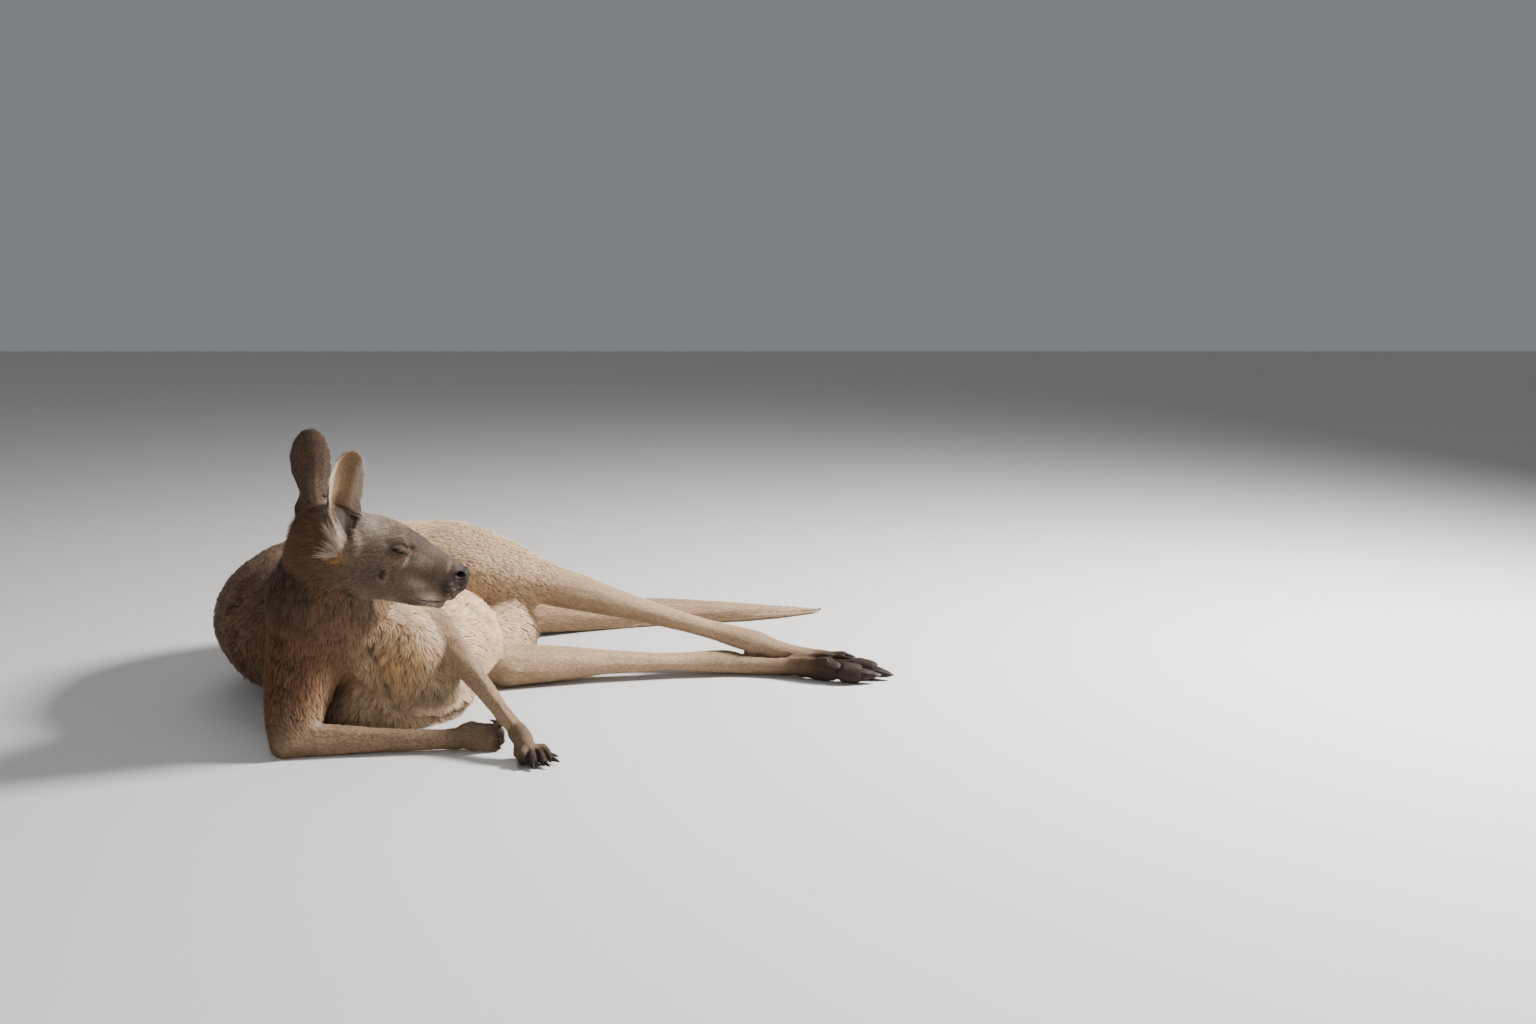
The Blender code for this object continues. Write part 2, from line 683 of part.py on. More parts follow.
def part_body(body):
    """Parts the one merged body into its named pieces, limbs first."""
    neck, body = split(
        body, JOINTS["neck"] + Vector((0, 0.035, -0.005)), (0.05, -0.35, 1), ("neck", COAT), ("body", COAT)
    )
    for side, spare in (("left", 0.011), ("right", 0.010)):
        forearm, upper_arm = forearm_stations(side), upper_arm_stations(side)
        _, body = take_limb(body, f"forearm_{side}", COAT, forearm, Vector((0, 1, 0)), spare)
        _, body = take_limb(body, f"upper_arm_{side}", COAT, upper_arm, Vector((1, 0.2, 0)), spare)
    _, body = take_limb(body, "thigh_left", PALE_COAT, thigh_stations("left"), UP, 0.012)
    _, body = take_limb(body, "shank_right", PALE_COAT, shank_stations("right"), UP, 0.012)
    _, body = take_limb(body, "thigh_right", PALE_COAT, thigh_stations("right")[:4], UP, 0.012)
    for name, before, after, share in (
        ("tail_tip", "tail_half", "tail_far", 0.8),
        ("tail_middle", "tail_quarter", "tail_half", 0.1),
        ("tail_root", "tail_root", "tail_quarter", 0.12),
    ):
        a, b = JOINTS[before], JOINTS[after]
        _, body = split(body, a.lerp(b, share), b - a, (name, PALE_COAT), ("body", COAT))
    split(body, (-0.5, -0.12, 0.15), (0.08, -1, 0.05), ("chest", COAT), ("abdomen", COAT))


def main():
    for old in list(bpy.data.objects):
        bpy.data.objects.remove(old)

    left_leg = bmesh.new()
    tube(left_leg, thigh_stations("left"), UP)
    tube(left_leg, shank_stations("left"), UP)
    left_leg = merge_flesh("shank_left", left_leg, 0.004, 6, 420, PALE_COAT)
    left_hand, left_claws = make_left_hand()
    right_hand, right_claws = make_right_hand()
    left_foot, left_toes = make_foot("left", FOOT_LINES["left"], Vector((0.25, 0.95, 0.1)).normalized(), DOWN)
    right_foot, right_toes = make_foot("right", FOOT_LINES["right"], Vector((0.2, 0.98, 0)).normalized(), UP)
    pieces = flatten_on_floor([make_body(), left_leg, left_hand, right_hand, left_foot, right_foot])
    body, left_leg, left_hand, right_hand, left_foot, right_foot = pieces
    left_claws, right_claws, left_toes, right_toes = map(
        flatten_on_floor, (left_claws, right_claws, left_toes, right_toes)
    )

    # Head, hands and feet come from finer merges: each ends where the coarser body takes over.
    head_cut = (JOINTS["nape"] + Vector((0, 0, 0.004)), Vector((0.45, -0.32, 0.80)))
    head = above_cut(make_head(), *head_cut)
    body = below_cut(body, *head_cut)
    for side in ("left", "right"):
        elbow, wrist, knee, ankle = (JOINTS[f"{name}_{side}"] for name in ("elbow", "wrist", "knee", "ankle"))
        wrist_cut = (elbow.lerp(wrist, 0.93), wrist - elbow)
        ankle_cut = (knee.lerp(ankle, 0.88), ankle - knee)
        body = cut_end(body, *wrist_cut, 0.07, 0.045)
        if side == "left":
            left_hand = above_cut(left_hand, *wrist_cut)
            left_leg = below_cut(left_leg, *ankle_cut)
            left_foot = above_cut(left_foot, *ankle_cut)
            knee_cut = (knee.lerp(ankle, 0.06), ankle - knee)
            left_leg = above_cut(left_leg, *knee_cut)
            body = cut_end(body, *knee_cut, 0.20, 0.085)
        else:
            right_hand = above_cut(right_hand, *wrist_cut)
            right_foot = above_cut(right_foot, *ankle_cut)
            body = cut_end(body, *ankle_cut, 0.12, 0.050)
    part_body(body)

    nose, eyes = make_nose(), [make_eye("right", -1), make_eye("left", 1)]
    ears = [
        make_ear("right", EAR_ROOTS["right"], EAR_AXES["right"], Vector((0.80, -0.60, 0.1))),
        make_ear("left", EAR_ROOTS["left"], EAR_AXES["left"], Vector((0.10, 0.99, 0))),
    ]
    make_room(head, [nose, *eyes, *ears])
    left_hand = make_room(left_hand, left_claws)
    make_room(right_hand, [*right_claws, left_hand, bpy.data.objects["forearm_left"]])
    make_room(right_foot, right_toes)
    left_foot = make_room(left_foot, [*left_toes, bpy.data.objects["foot_right"]])
    shank = bpy.data.objects["shank_right"]
    make_room(left_foot, [shank])
    make_room(left_leg, [shank, bpy.data.objects["foot_right"]])
    centre_over_origin()


def cut_end(body, point, normal, length, radius):
    """Takes the end of a limb off the body beyond a plane, over a short length only."""
    shape = bmesh.new()
    turn = Vector(normal).to_track_quat("Z", "Y").to_matrix().to_4x4()
    centre = Vector(point) + Vector(normal).normalized() * (length / 2 - CUT / 2)
    place = Matrix.Translation(centre) @ turn
    bmesh.ops.create_cone(
        shape, cap_ends=True, segments=24, radius1=radius, radius2=radius, depth=length, matrix=place
    )
    cutter = add_cutter("limb_end", shape)
    body = keep_largest(replace(body, boolean(body, cutter, "DIFFERENCE")))
    bpy.data.objects.remove(cutter)
    return body


def centre_over_origin():
    """Moves everything so that the middle of the animal's outline is over the origin."""
    meshes = [obj.data for obj in bpy.data.objects if obj.type == "MESH"]
    places = np.array([vertex.co[:] for mesh in meshes for vertex in mesh.vertices])
    middle = (places.min(0) + places.max(0)) / 2
    shift = Matrix.Translation((-middle[0], -middle[1], 0))
    for mesh in meshes:
        mesh.transform(shift)
    print("shifted by", [round(-float(value), 5) for value in middle[:2]])


main()
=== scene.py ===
import math

import bpy
import numpy as np
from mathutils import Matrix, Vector
from mathutils.bvhtree import BVHTree
from mathutils.kdtree import KDTree


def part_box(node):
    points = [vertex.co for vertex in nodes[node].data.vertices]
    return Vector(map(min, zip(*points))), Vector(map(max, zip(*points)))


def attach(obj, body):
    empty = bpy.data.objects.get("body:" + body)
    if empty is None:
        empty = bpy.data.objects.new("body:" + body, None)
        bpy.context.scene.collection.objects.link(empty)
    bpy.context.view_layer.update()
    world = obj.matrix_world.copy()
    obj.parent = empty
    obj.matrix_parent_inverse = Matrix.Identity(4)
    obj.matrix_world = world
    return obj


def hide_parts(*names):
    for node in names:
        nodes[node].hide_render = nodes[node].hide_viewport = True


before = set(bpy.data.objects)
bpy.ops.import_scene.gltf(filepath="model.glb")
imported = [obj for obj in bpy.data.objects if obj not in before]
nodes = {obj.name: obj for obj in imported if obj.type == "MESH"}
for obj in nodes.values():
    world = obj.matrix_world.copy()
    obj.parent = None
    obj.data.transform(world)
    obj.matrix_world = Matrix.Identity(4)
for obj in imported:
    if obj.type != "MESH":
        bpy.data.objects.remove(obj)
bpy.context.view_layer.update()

clawNames = [name for name in nodes if "claw" in name]
sides = {"left": 1, "right": -1}  # with the sign of each along toLeft
chance = np.random.default_rng(11)
print("frame: the packed kangaroo is loaded")


# Small helpers for arrays and for working on one object at a time.

def ramp(value, low, high):
    t = np.clip((value - low) / (high - low), 0, 1)
    return t * t * (3 - 2 * t)


def unit(rows):
    return rows / np.maximum(np.linalg.norm(rows, axis=-1, keepdims=True), 1e-9)


def spot(points, centre, radii):  # 1 at the centre, and it fades over the radii
    return np.exp(-(((points - centre) / radii) ** 2).sum(-1))


def wave(points, size, seed):  # soft random waves of about this size, mostly from -1 to 1
    rng = np.random.default_rng(seed)
    total = np.zeros(len(points))
    for _ in range(7):
        direction = rng.normal(size=3)
        direction *= 2 * math.pi / (size * rng.uniform(0.75, 1.6) * np.linalg.norm(direction))
        total += np.sin(points @ direction + rng.uniform(0, 2 * math.pi))
    return total / 3.2


def work(obj):
    bpy.ops.object.select_all(action="DESELECT")
    obj.select_set(True)
    bpy.context.view_layer.objects.active = obj


def apply(obj, kind, **settings):
    work(obj)
    modifier = obj.modifiers.new(kind.title(), kind)
    for key, value in settings.items():
        setattr(modifier, key, value)
    bpy.ops.object.modifier_apply(modifier=modifier.name)


def copied(names, newName):  # one new object from copies of CAD nodes
    bpy.ops.object.select_all(action="DESELECT")
    for name in names:
        nodes[name].select_set(True)
    bpy.context.view_layer.objects.active = nodes[names[0]]
    bpy.ops.object.duplicate()
    if len(names) > 1:
        bpy.ops.object.join()
    made = bpy.context.view_layer.objects.active
    made.name = made.data.name = newName
    for key in list(made.keys()):
        del made[key]
    bpy.ops.object.mode_set(mode="EDIT")
    bpy.ops.mesh.select_all(action="SELECT")
    bpy.ops.mesh.remove_doubles(threshold=0.00001)
    bpy.ops.object.mode_set(mode="OBJECT")
    return made


def push(points, direction, amount):  # moves each point by its own amount
    points += direction * amount[:, None]


def readRows(items, key, size=3, kind=np.float32):
    out = np.empty(len(items) * size, kind)
    items.foreach_get(key, out)
    return out.reshape(-1, size)


def readPoints(obj):
    return readRows(obj.data.vertices, "co").astype(float)


def readNormals(obj):
    return readRows(obj.data.vertex_normals, "vector").astype(float)


def readTriangles(mesh):
    mesh.calc_loop_triangles()
    return readRows(mesh.loop_triangles, "vertices", kind=np.int32)


def writePoints(obj, points):
    obj.data.vertices.foreach_set("co", points.astype(np.float32).ravel())
    obj.data.update()


def distanceTo(points, *places):  # to the nearest of the places
    return np.min([np.linalg.norm(points - place, axis=1) for place in places], axis=0)


def offsets(points, origin, *axes):  # how far each point lies from the origin along each axis
    return [(points - origin) @ axis for axis in axes]


# Landmarks, all read from the frame.

def middle(name):
    low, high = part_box(name)
    return np.array((low + high) / 2)


def joint(nameA, nameB):  # the middle of the cut between two nodes
    a, b = readPoints(nodes[nameA]), readPoints(nodes[nameB])
    near = np.array([np.min(((b - p) ** 2).sum(1)) for p in a])
    return a[near <= max(near.min() * 4, 0.002 ** 2)].mean(0)


headPlan = {  # in head lengths, and the angle between the head's own axis and the line from eyes to nose
    "eyeToNose": 0.496,
    "eyeAhead": 0.483,
    "eyeUp": 0.088,
    "tilt": 12.0,
}
eyes = {side: middle(f"eye_{side}") for side in sides}
eyeMiddle = (eyes["left"] + eyes["right"]) / 2
toLeft = unit(eyes["left"] - eyes["right"])
toNose = middle("nose") - eyeMiddle
toNose -= toNose @ toLeft * toLeft
headLength = np.linalg.norm(toNose) / headPlan["eyeToNose"]
headUp = unit(np.cross(toNose, toLeft))
tilt = math.radians(headPlan["tilt"])
headAhead = unit(unit(toNose) * math.cos(tilt) + headUp * math.sin(tilt))
headUp = np.cross(headAhead, toLeft)
headRoot = eyeMiddle - (headAhead * headPlan["eyeAhead"] + headUp * headPlan["eyeUp"]) * headLength
headAxes = np.array([headAhead, toLeft, headUp])


def inHead(points):  # ahead, left and up, as shares of the head's length
    return (points - headRoot) @ headAxes.T / headLength


def onHead(*place):
    return headRoot + np.array(place) @ headAxes * headLength


def farEnd(name, start):
    points = readPoints(nodes[name])
    return points[np.argmax(np.linalg.norm(points - start, axis=1))]


def dense(points, steps=14):  # a smooth line through the landmarks
    rows = np.array(points)
    rows = np.vstack([2 * rows[0] - rows[1], rows, 2 * rows[-1] - rows[-2]])
    out = []
    for i in range(1, len(rows) - 2):
        a, b, c, d = rows[i - 1 : i + 3]
        for t in np.arange(steps) / steps:
            bend = 2 * a - 5 * b + 4 * c - d + t * (3 * (b - c) + d - a)
            out.append(b + 0.5 * t * (c - a + t * bend))
    return np.array(out + [rows[-2]])


neckTop, neckBase = joint("head", "neck"), joint("neck", "chest")
waist, rump = joint("chest", "abdomen"), joint("abdomen", "tail_root")
tailOne, tailTwo = joint("tail_root", "tail_middle"), joint("tail_middle", "tail_tip")
trunkLine = [neckTop, neckBase, middle("chest") + [-0.02, 0.02, 0], waist, middle("abdomen"), rump]
lines = {
    "head": dense([onHead(1.0, 0, -0.05), onHead(0.5, 0, -0.05), onHead(0.0, 0, -0.05), neckTop]),
    "trunk": dense(trunkLine + [tailOne, tailTwo, farEnd("tail_tip", tailTwo)]),
}
chainOf = {"head": "head", "nose": "head", "eye_left": "head", "eye_right": "head", "neck": "trunk"}
chainOf.update({name: "trunk" for name in ("chest", "abdomen", "tail_root", "tail_middle", "tail_tip")})
for side in sides:
    base = joint("head", f"ear_{side}")
    lines[f"ear_{side}"] = dense([base, middle(f"ear_{side}"), farEnd(f"ear_{side}", base)])
    shoulder, elbow = joint("chest", f"upper_arm_{side}"), joint(f"upper_arm_{side}", f"forearm_{side}")
    fingers = np.mean([middle(f"finger_claw_{side}_{n}") for n in range(1, 6)], axis=0)
    lines[f"arm_{side}"] = dense([shoulder, elbow, joint(f"forearm_{side}", f"hand_{side}"), fingers])
    hip, knee = joint("abdomen", f"thigh_{side}"), joint(f"thigh_{side}", f"shank_{side}")
    ankle, toes = joint(f"shank_{side}", f"foot_{side}"), middle(f"toe_claw_{side}_fourth")
    lines[f"leg_{side}"] = dense([hip, knee, ankle, toes])
    chainOf[f"ear_{side}"] = f"ear_{side}"
    chainOf.update({f"{part}_{side}": f"arm_{side}" for part in ("upper_arm", "forearm", "hand")})
    chainOf.update({f"{part}_{side}": f"leg_{side}" for part in ("thigh", "shank", "foot")})
print("landmarks: head is %.0f mm long" % (headLength * 1000))


# The skin: one closed surface from all the flesh, fine on the face, hands and feet.

skinPlan = {
    "voxel": 0.0026,
    "coarseTriangles": 46000,  # for all but the face, ears, hands and toes
    "softenTrunk": 26,
    "softenHead": 7,
    "softenEar": 5,
    "softenLimb": 6,
    "longFoot": 0.11,  # how much of each foot is fine
    "floorGap": 0.0004,  # the skin stays this far off the floor
    "coatDepth": {"head": 0.0028, "ear": 0.0004, "neck": 0.0085, "trunk": 0.0085, "tail": 0.006,
                  "upperLimb": 0.007, "lowerLimb": 0.0035, "end": 0.0012},
}
fleshNames = sorted(chainOf)
skin = copied(fleshNames, "skin")
apply(skin, "REMESH", mode="VOXEL", voxel_size=skinPlan["voxel"])
apply(skin, "SMOOTH", factor=0.5, iterations=5)
points = readPoints(skin)
fine = np.zeros(len(points), bool)
for name in fleshNames:
    if name.startswith(("head", "ear", "hand", "foot", "nose")):
        low, high = (np.array(corner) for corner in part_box(name))
        if name.startswith("foot"):
            low[0] = high[0] - skinPlan["longFoot"]
        fine |= ((points > low - 0.004) & (points < high + 0.004)).all(1)
coarse = skin.vertex_groups.new(name="coarse")
coarse.add(np.nonzero(~fine)[0].tolist(), 1.0, "REPLACE")
share = (2 * fine.sum() + skinPlan["coarseTriangles"]) / (2 * len(skin.data.polygons))
apply(skin, "DECIMATE", ratio=share, vertex_group="coarse", vertex_group_factor=8)
apply(skin, "TRIANGULATE")
print("skin:", len(skin.data.polygons), "triangles")


def nearestNodes(points):  # the place in fleshNames of the CAD node nearest to each point
    allPoints, allFaces, owner, count = [], [], [], 0
    for index, name in enumerate(fleshNames):
        mesh = nodes[name].data
        allPoints.append(readPoints(nodes[name]))
        triangles = readTriangles(mesh)
        allFaces.append(triangles + count)
        owner += [index] * len(triangles)
        count += len(mesh.vertices)
    tree = BVHTree.FromPolygons(np.vstack(allPoints).tolist(), np.vstack(allFaces).tolist())
    return np.array([owner[tree.find_nearest(point)[2]] for point in points.tolist()])


def neighbours(obj):
    return readRows(obj.data.edges, "vertices", 2, np.int32)


def spread(values, edges, rounds):  # averages values over the skin, round by round
    count = len(values)
    a, b = edges[:, 0], edges[:, 1]
    degree = np.bincount(a, minlength=count) + np.bincount(b, minlength=count)
    columns = values.reshape(count, -1).T.copy()
    for _ in range(rounds):
        for column in columns:
            near = np.bincount(a, column[b], count) + np.bincount(b, column[a], count)
            column += 0.6 * (near / np.maximum(degree, 1) - column)
    return columns.T.reshape(values.shape)


def partGroup(name):
    if name in ("head", "nose") or name.startswith("eye"):
        return "head"
    for start, group in (("ear", "ear"), ("neck", "neck"), ("tail", "tail"), ("thigh", "upperLimb"),
                         ("upper", "upperLimb"), ("shank", "lowerLimb"), ("forearm", "lowerLimb"),
                         ("hand", "end"), ("foot", "end")):
        if name.startswith(start):
            return group
    return "trunk"


def softenBy(weights, rounds):  # smooths the skin, with the weights rounded to quarters
    group = skin.vertex_groups.new(name="soften")
    for level in (0.25, 0.5, 0.75, 1.0):
        picked = np.nonzero((weights > level - 0.125) & (weights <= level + 0.125))[0]
        group.add(picked.tolist(), level, "REPLACE")
    apply(skin, "SMOOTH", factor=0.5, iterations=rounds, vertex_group="soften")
    skin.vertex_groups.remove(skin.vertex_groups["soften"])


def softenNear(points, place, radius, rounds):
    softenBy(spot(points, place, radius) * 0.999, rounds)


def keepOffFloor(points):
    points[:, 2] = np.maximum(points[:, 2], skinPlan["floorGap"])


points = readPoints(skin)
edges = neighbours(skin)
groups = np.array([partGroup(name) for name in fleshNames])
groupOf = groups[nearestNodes(points)]
isTrunk = np.isin(groupOf, ("trunk", "neck", "upperLimb")).astype(float)
isLimb = np.isin(groupOf, ("lowerLimb", "tail", "end")).astype(float)
softenBy(spread(isTrunk, edges, 10), skinPlan["softenTrunk"])
softenBy(isLimb, skinPlan["softenLimb"])
softenNear(points, (-0.105, 0.010, 0.115), 0.075, 40)  # the groin
softenBy((groupOf == "head").astype(float), skinPlan["softenHead"])
softenBy((groupOf == "ear").astype(float), skinPlan["softenEar"])
depth = spread(np.array([skinPlan["coatDepth"][group] for group in groupOf]), edges, 40)
points, normals = readPoints(skin), readNormals(skin)
grounded = ramp(-normals[:, 2], 0.5, 0.9) * (1 - ramp(points[:, 2], 0.004, 0.016))
push(points, normals, -(depth * (1 - grounded)))
writePoints(skin, points)
print("skin: softened and set in by the coat's depth")


# Folds of the body: grooves along lines, each with its two sides raised a little.

foldPlan = {  # points along the fold, width, depth
    "breast": ([(-0.287, -0.466, 0.195), (-0.281, -0.461, 0.152), (-0.272, -0.440, 0.110),
                (-0.258, -0.405, 0.066), (-0.234, -0.385, 0.034), (-0.197, -0.352, 0.022),
                (-0.156, -0.311, 0.034)], 0.013, 0.024),
    "flank": ([(-0.545, -0.270, 0.285), (-0.578, -0.318, 0.225), (-0.578, -0.330, 0.170),
               (-0.565, -0.318, 0.100), (-0.545, -0.310, 0.050)], 0.014, 0.020),
    "throat": ([(-0.315, -0.515, 0.205), (-0.290, -0.487, 0.215), (-0.262, -0.458, 0.208)], 0.007, 0.005),
    "shoulder high": ([(-0.462, -0.480, 0.222), (-0.425, -0.520, 0.215),
                       (-0.385, -0.535, 0.222)], 0.009, 0.005),
    "shoulder low": ([(-0.466, -0.490, 0.180), (-0.425, -0.520, 0.172), (-0.385, -0.525, 0.180),
                      (-0.360, -0.510, 0.190)], 0.009, 0.005),
    "arm": ([(-0.365, -0.500, 0.150), (-0.372, -0.505, 0.110), (-0.378, -0.500, 0.070)], 0.012, 0.005),
    "belly high": ([(-0.230, -0.270, 0.262), (-0.180, -0.215, 0.215), (-0.140, -0.190, 0.160),
                    (-0.122, -0.180, 0.100)], 0.012, 0.006),
    "belly low": ([(-0.235, -0.170, 0.272), (-0.175, -0.125, 0.225), (-0.125, -0.105, 0.160),
                   (-0.105, -0.100, 0.100)], 0.013, 0.006),
}


def toLine(points, line):  # distance to a line of points, and the place along it from 0 to 1
    best, place = np.full(len(points), 1e9), np.zeros(len(points))
    for i, sample in enumerate(line):
        d = ((points - sample) ** 2).sum(1)
        closer = d < best
        best[closer], place[closer] = d[closer], i / (len(line) - 1)
    return np.sqrt(best), place


points, normals = readPoints(skin), readNormals(skin)
for corners, width, foldDepth in foldPlan.values():
    distance, place = toLine(points, dense(corners))
    fade = ramp(place, 0, 0.18) * ramp(1 - place, 0, 0.18)
    groove = np.exp(-(distance / width) ** 2) * fade
    raised = np.exp(-((distance - 2.2 * width) / width) ** 2) * fade
    push(points, normals, -(foldDepth * (groove - 0.35 * raised)))


# Fingers and toes part along grooves, and so do the legs where one lies on the other.

groovePlan = {
    "hand": ("finger_claw", 0.05),  # the claws' name, and how far out from the middle the digits part
    "foot": ("toe_claw", 0.45),
    "digitDepth": 0.0062,
    "legDepth": 0.0070,
    "groinDepth": 0.010,
    "toeReach": 0.008,
    "toeFullness": 0.0045,
}


def toSegment(points, start, end):
    along = np.clip((points - start) @ (end - start) / ((end - start) @ (end - start)), 0, 1)
    return np.linalg.norm(points - start - np.outer(along, end - start), axis=1), along


def digitGrooves(points, names, part, side, width):
    clawPart, split = groovePlan[part]
    centre = middle(f"{part}_{side}")
    bases = []
    for name in clawNames:
        if name.startswith(f"{clawPart}_{side}_"):
            claw = readPoints(nodes[name])
            bases.append(claw[distanceTo(claw, centre).argmin()] * 0.6 + claw.mean(0) * 0.4)
    root = centre + split * (np.mean(bases, axis=0) - centre)
    found = [toSegment(points, root, base) for base in bases]
    gaps = np.sort(np.array([distance for distance, _ in found]), axis=0)
    reach = np.max([along for _, along in found], axis=0)
    mine = names == f"{part}_{side}"
    return np.exp(-((gaps[1] - gaps[0]) / width) ** 2) * ramp(reach, 0.05, 0.55) * mine


def partDigits(points, names, fingerWidth, toeWidth, toeShare):
    parting = np.zeros(len(points))
    for side in sides:
        parting = np.maximum(parting, digitGrooves(points, names, "hand", side, fingerWidth))
        parting = np.maximum(parting, toeShare * digitGrooves(points, names, "foot", side, toeWidth))
    return parting


def whereLegsTouch(names, edges, rounds, width):
    left, right = (np.isin(names, (f"shank_{side}", f"foot_{side}")) for side in sides)
    ownLeg = 1.0 * left - right
    return np.exp(-(spread(ownLeg, edges, rounds) / width) ** 2) * (abs(ownLeg) > 0)


names = np.array(fleshNames)[nearestNodes(points)]
parting = partDigits(points, names, 0.0034, 0.0040, 0.8)
touching = spread(whereLegsTouch(names, edges, 6, 0.42), edges, 2)
normals = readNormals(skin)
push(points, normals, -(groovePlan["digitDepth"] * parting + groovePlan["legDepth"] * touching))
keepOffFloor(points)
groin = spot(points, (-0.080, 0.005, 0.100), 0.050)
push(points, normals, -(groovePlan["groinDepth"] * groin))
for side in sides:  # the great toe is full and reaches over the root of its claw
    root = joint(f"foot_{side}", f"toe_claw_{side}_fourth")
    forward = unit(middle(f"toe_claw_{side}_fourth") - root)
    full = spot(points, root - 0.006 * forward, 0.020)
    fuller = normals * (groovePlan["toeFullness"] * full)[:, None]
    points += np.outer(groovePlan["toeReach"] * full, forward) + fuller
keepOffFloor(points)
writePoints(skin, points)
print("skin: folds of the body, fingers and toes")


# The face: finer mesh round the eyes, nose and mouth, then lids, nostrils, mouth line and folds.

facePlan = {
    "fineEye": (0.021, 0.0165),  # how far round the eye the mesh is split, and split again
    "fineNose": (0.024, 0.013),
    "eyeRadius": 0.0125,
    "slitHalfLength": 0.0125,
    "slitUp": 0.0010,  # how far the lids part above and below the slit's line
    "slitDown": 0.0038,
    "lidThickness": 0.0017,
    "lidCrease": 0.0011,
    "ballInset": 0.0026,  # the skin between the lids lies behind the eyeball
    "nostrilDepth": 0.0095,
    "nostrilRim": 0.0016,
    "noseHollow": 0.0026,
    "noseGroove": 0.0016,
    "mouthDepth": 0.0042,
    "overLip": 0.0016,
    "lipWaves": 0.0007,
    "cheekPit": 0.0050,
    "cheekRim": 0.0009,
    "mouthPath": [(0.690, -0.250), (0.750, -0.262), (0.830, -0.250), (0.900, -0.222),
                  (0.960, -0.198), (1.060, -0.185)],  # ahead and up, in head lengths
}


def refine(near):  # splits the faces whose corners are all near
    work(skin)
    skin.data.vertices.foreach_set("select", near)
    skin.data.edges.foreach_set("select", near[neighbours(skin)].all(1))
    triangles = readRows(skin.data.polygons, "vertices", kind=np.int32)
    skin.data.polygons.foreach_set("select", near[triangles].all(1))
    bpy.ops.object.mode_set(mode="EDIT")
    bpy.ops.mesh.subdivide(number_cuts=1)
    bpy.ops.object.mode_set(mode="OBJECT")
    apply(skin, "TRIANGULATE")


points = readPoints(skin)
nearEye = distanceTo(points, *eyes.values()) < facePlan["fineEye"][0]
nearNose = distanceTo(points, onHead(0.97, 0, -0.05)) < facePlan["fineNose"][0]
refine(nearEye | nearNose)
points = readPoints(skin)
nostrils = [onHead(0.94, 0.07 * sign, 0) for sign in (-1, 1)]
nearSlit = distanceTo(points, *eyes.values()) < facePlan["fineEye"][1]
nearNostril = distanceTo(points, *nostrils) < facePlan["fineNose"][1]
refine(nearSlit | nearNostril)
points, normals = readPoints(skin), readNormals(skin)
local = inHead(points)
onTheHead = distanceTo(points, onHead(0.45, 0, 0)) < 0.62 * headLength
for place, radii, drop in (  # the lower lip and chin, the jaw and its rear angle hang lower
    ((0.91, 0, -0.22), (0.10, 0.30, 0.10), 0.0085),
    ((0.66, 0, -0.30), (0.15, 0.30, 0.10), 0.0060),
    ((0.47, 0, -0.32), (0.12, 0.30, 0.10), 0.0065),
    ((0.28, 0, -0.36), (0.17, 0.35, 0.14), 0.0100),
):
    push(points, headUp, -(drop * spot(local, place, radii) * onTheHead))

# the wide root of each ear stands out from the head, and the right one's hollow runs down into it
earRoot = {
    "top": np.array([-0.03, 0.30]),
    "bottom": np.array([0.09, -0.10]),
    "height": 0.0120,
    "slit": 0.0150,  # depth of the hollow
}
sideways = local[:, [0, 2]]
rootAxis = earRoot["bottom"] - earRoot["top"]
down = (sideways - earRoot["top"]) @ rootAxis / (rootAxis @ rootAxis)
across = abs((sideways - earRoot["top"]) @ unit(np.array([-rootAxis[1], rootAxis[0]])))
swell = (1 - ramp(across / (0.105 - 0.040 * np.clip(down, 0, 1)), 0.30, 1.0)) * ramp(down, -0.10, 0.15)
swell *= 1 - ramp(down, 0.70, 1.10)
isEar = (toLine(points, lines["ear_left"])[0] < 0.044) | (toLine(points, lines["ear_right"])[0] < 0.030)
isEar &= local[:, 2] > 0.27
for sign in (-1, 1):
    beside = ramp(local[:, 1] * sign, 0.03, 0.12) * onTheHead * ~isEar
    push(points, toLeft * sign, earRoot["height"] * swell * beside)
rearEdge = 0.123 - 0.85 * (local[:, 2] - 0.10)
frontEdge = 0.140 + 0.36 * (local[:, 2] - 0.10)
earSlit = ramp(local[:, 0] - rearEdge, -0.008, 0.014) * ramp(frontEdge - local[:, 0], -0.008, 0.014)
earSlit *= ramp(local[:, 2], 0.075, 0.13) * ramp(-local[:, 1], 0.03, 0.10) * onTheHead * ~isEar
push(points, toLeft, earRoot["slit"] * earSlit * (0.35 + 0.65 * ramp(local[:, 2], 0.08, 0.24)))
earTaper = {  # how narrow the base is, where it widens, the side it tapers towards, the way it faces
    "left": (0.58, 0.15, 0.62, -0.010, (0.10, 0.99, 0.0)),
    "right": (0.92, 0.10, 0.50, 0.0, (0.60, -0.80, 0.0)),
}
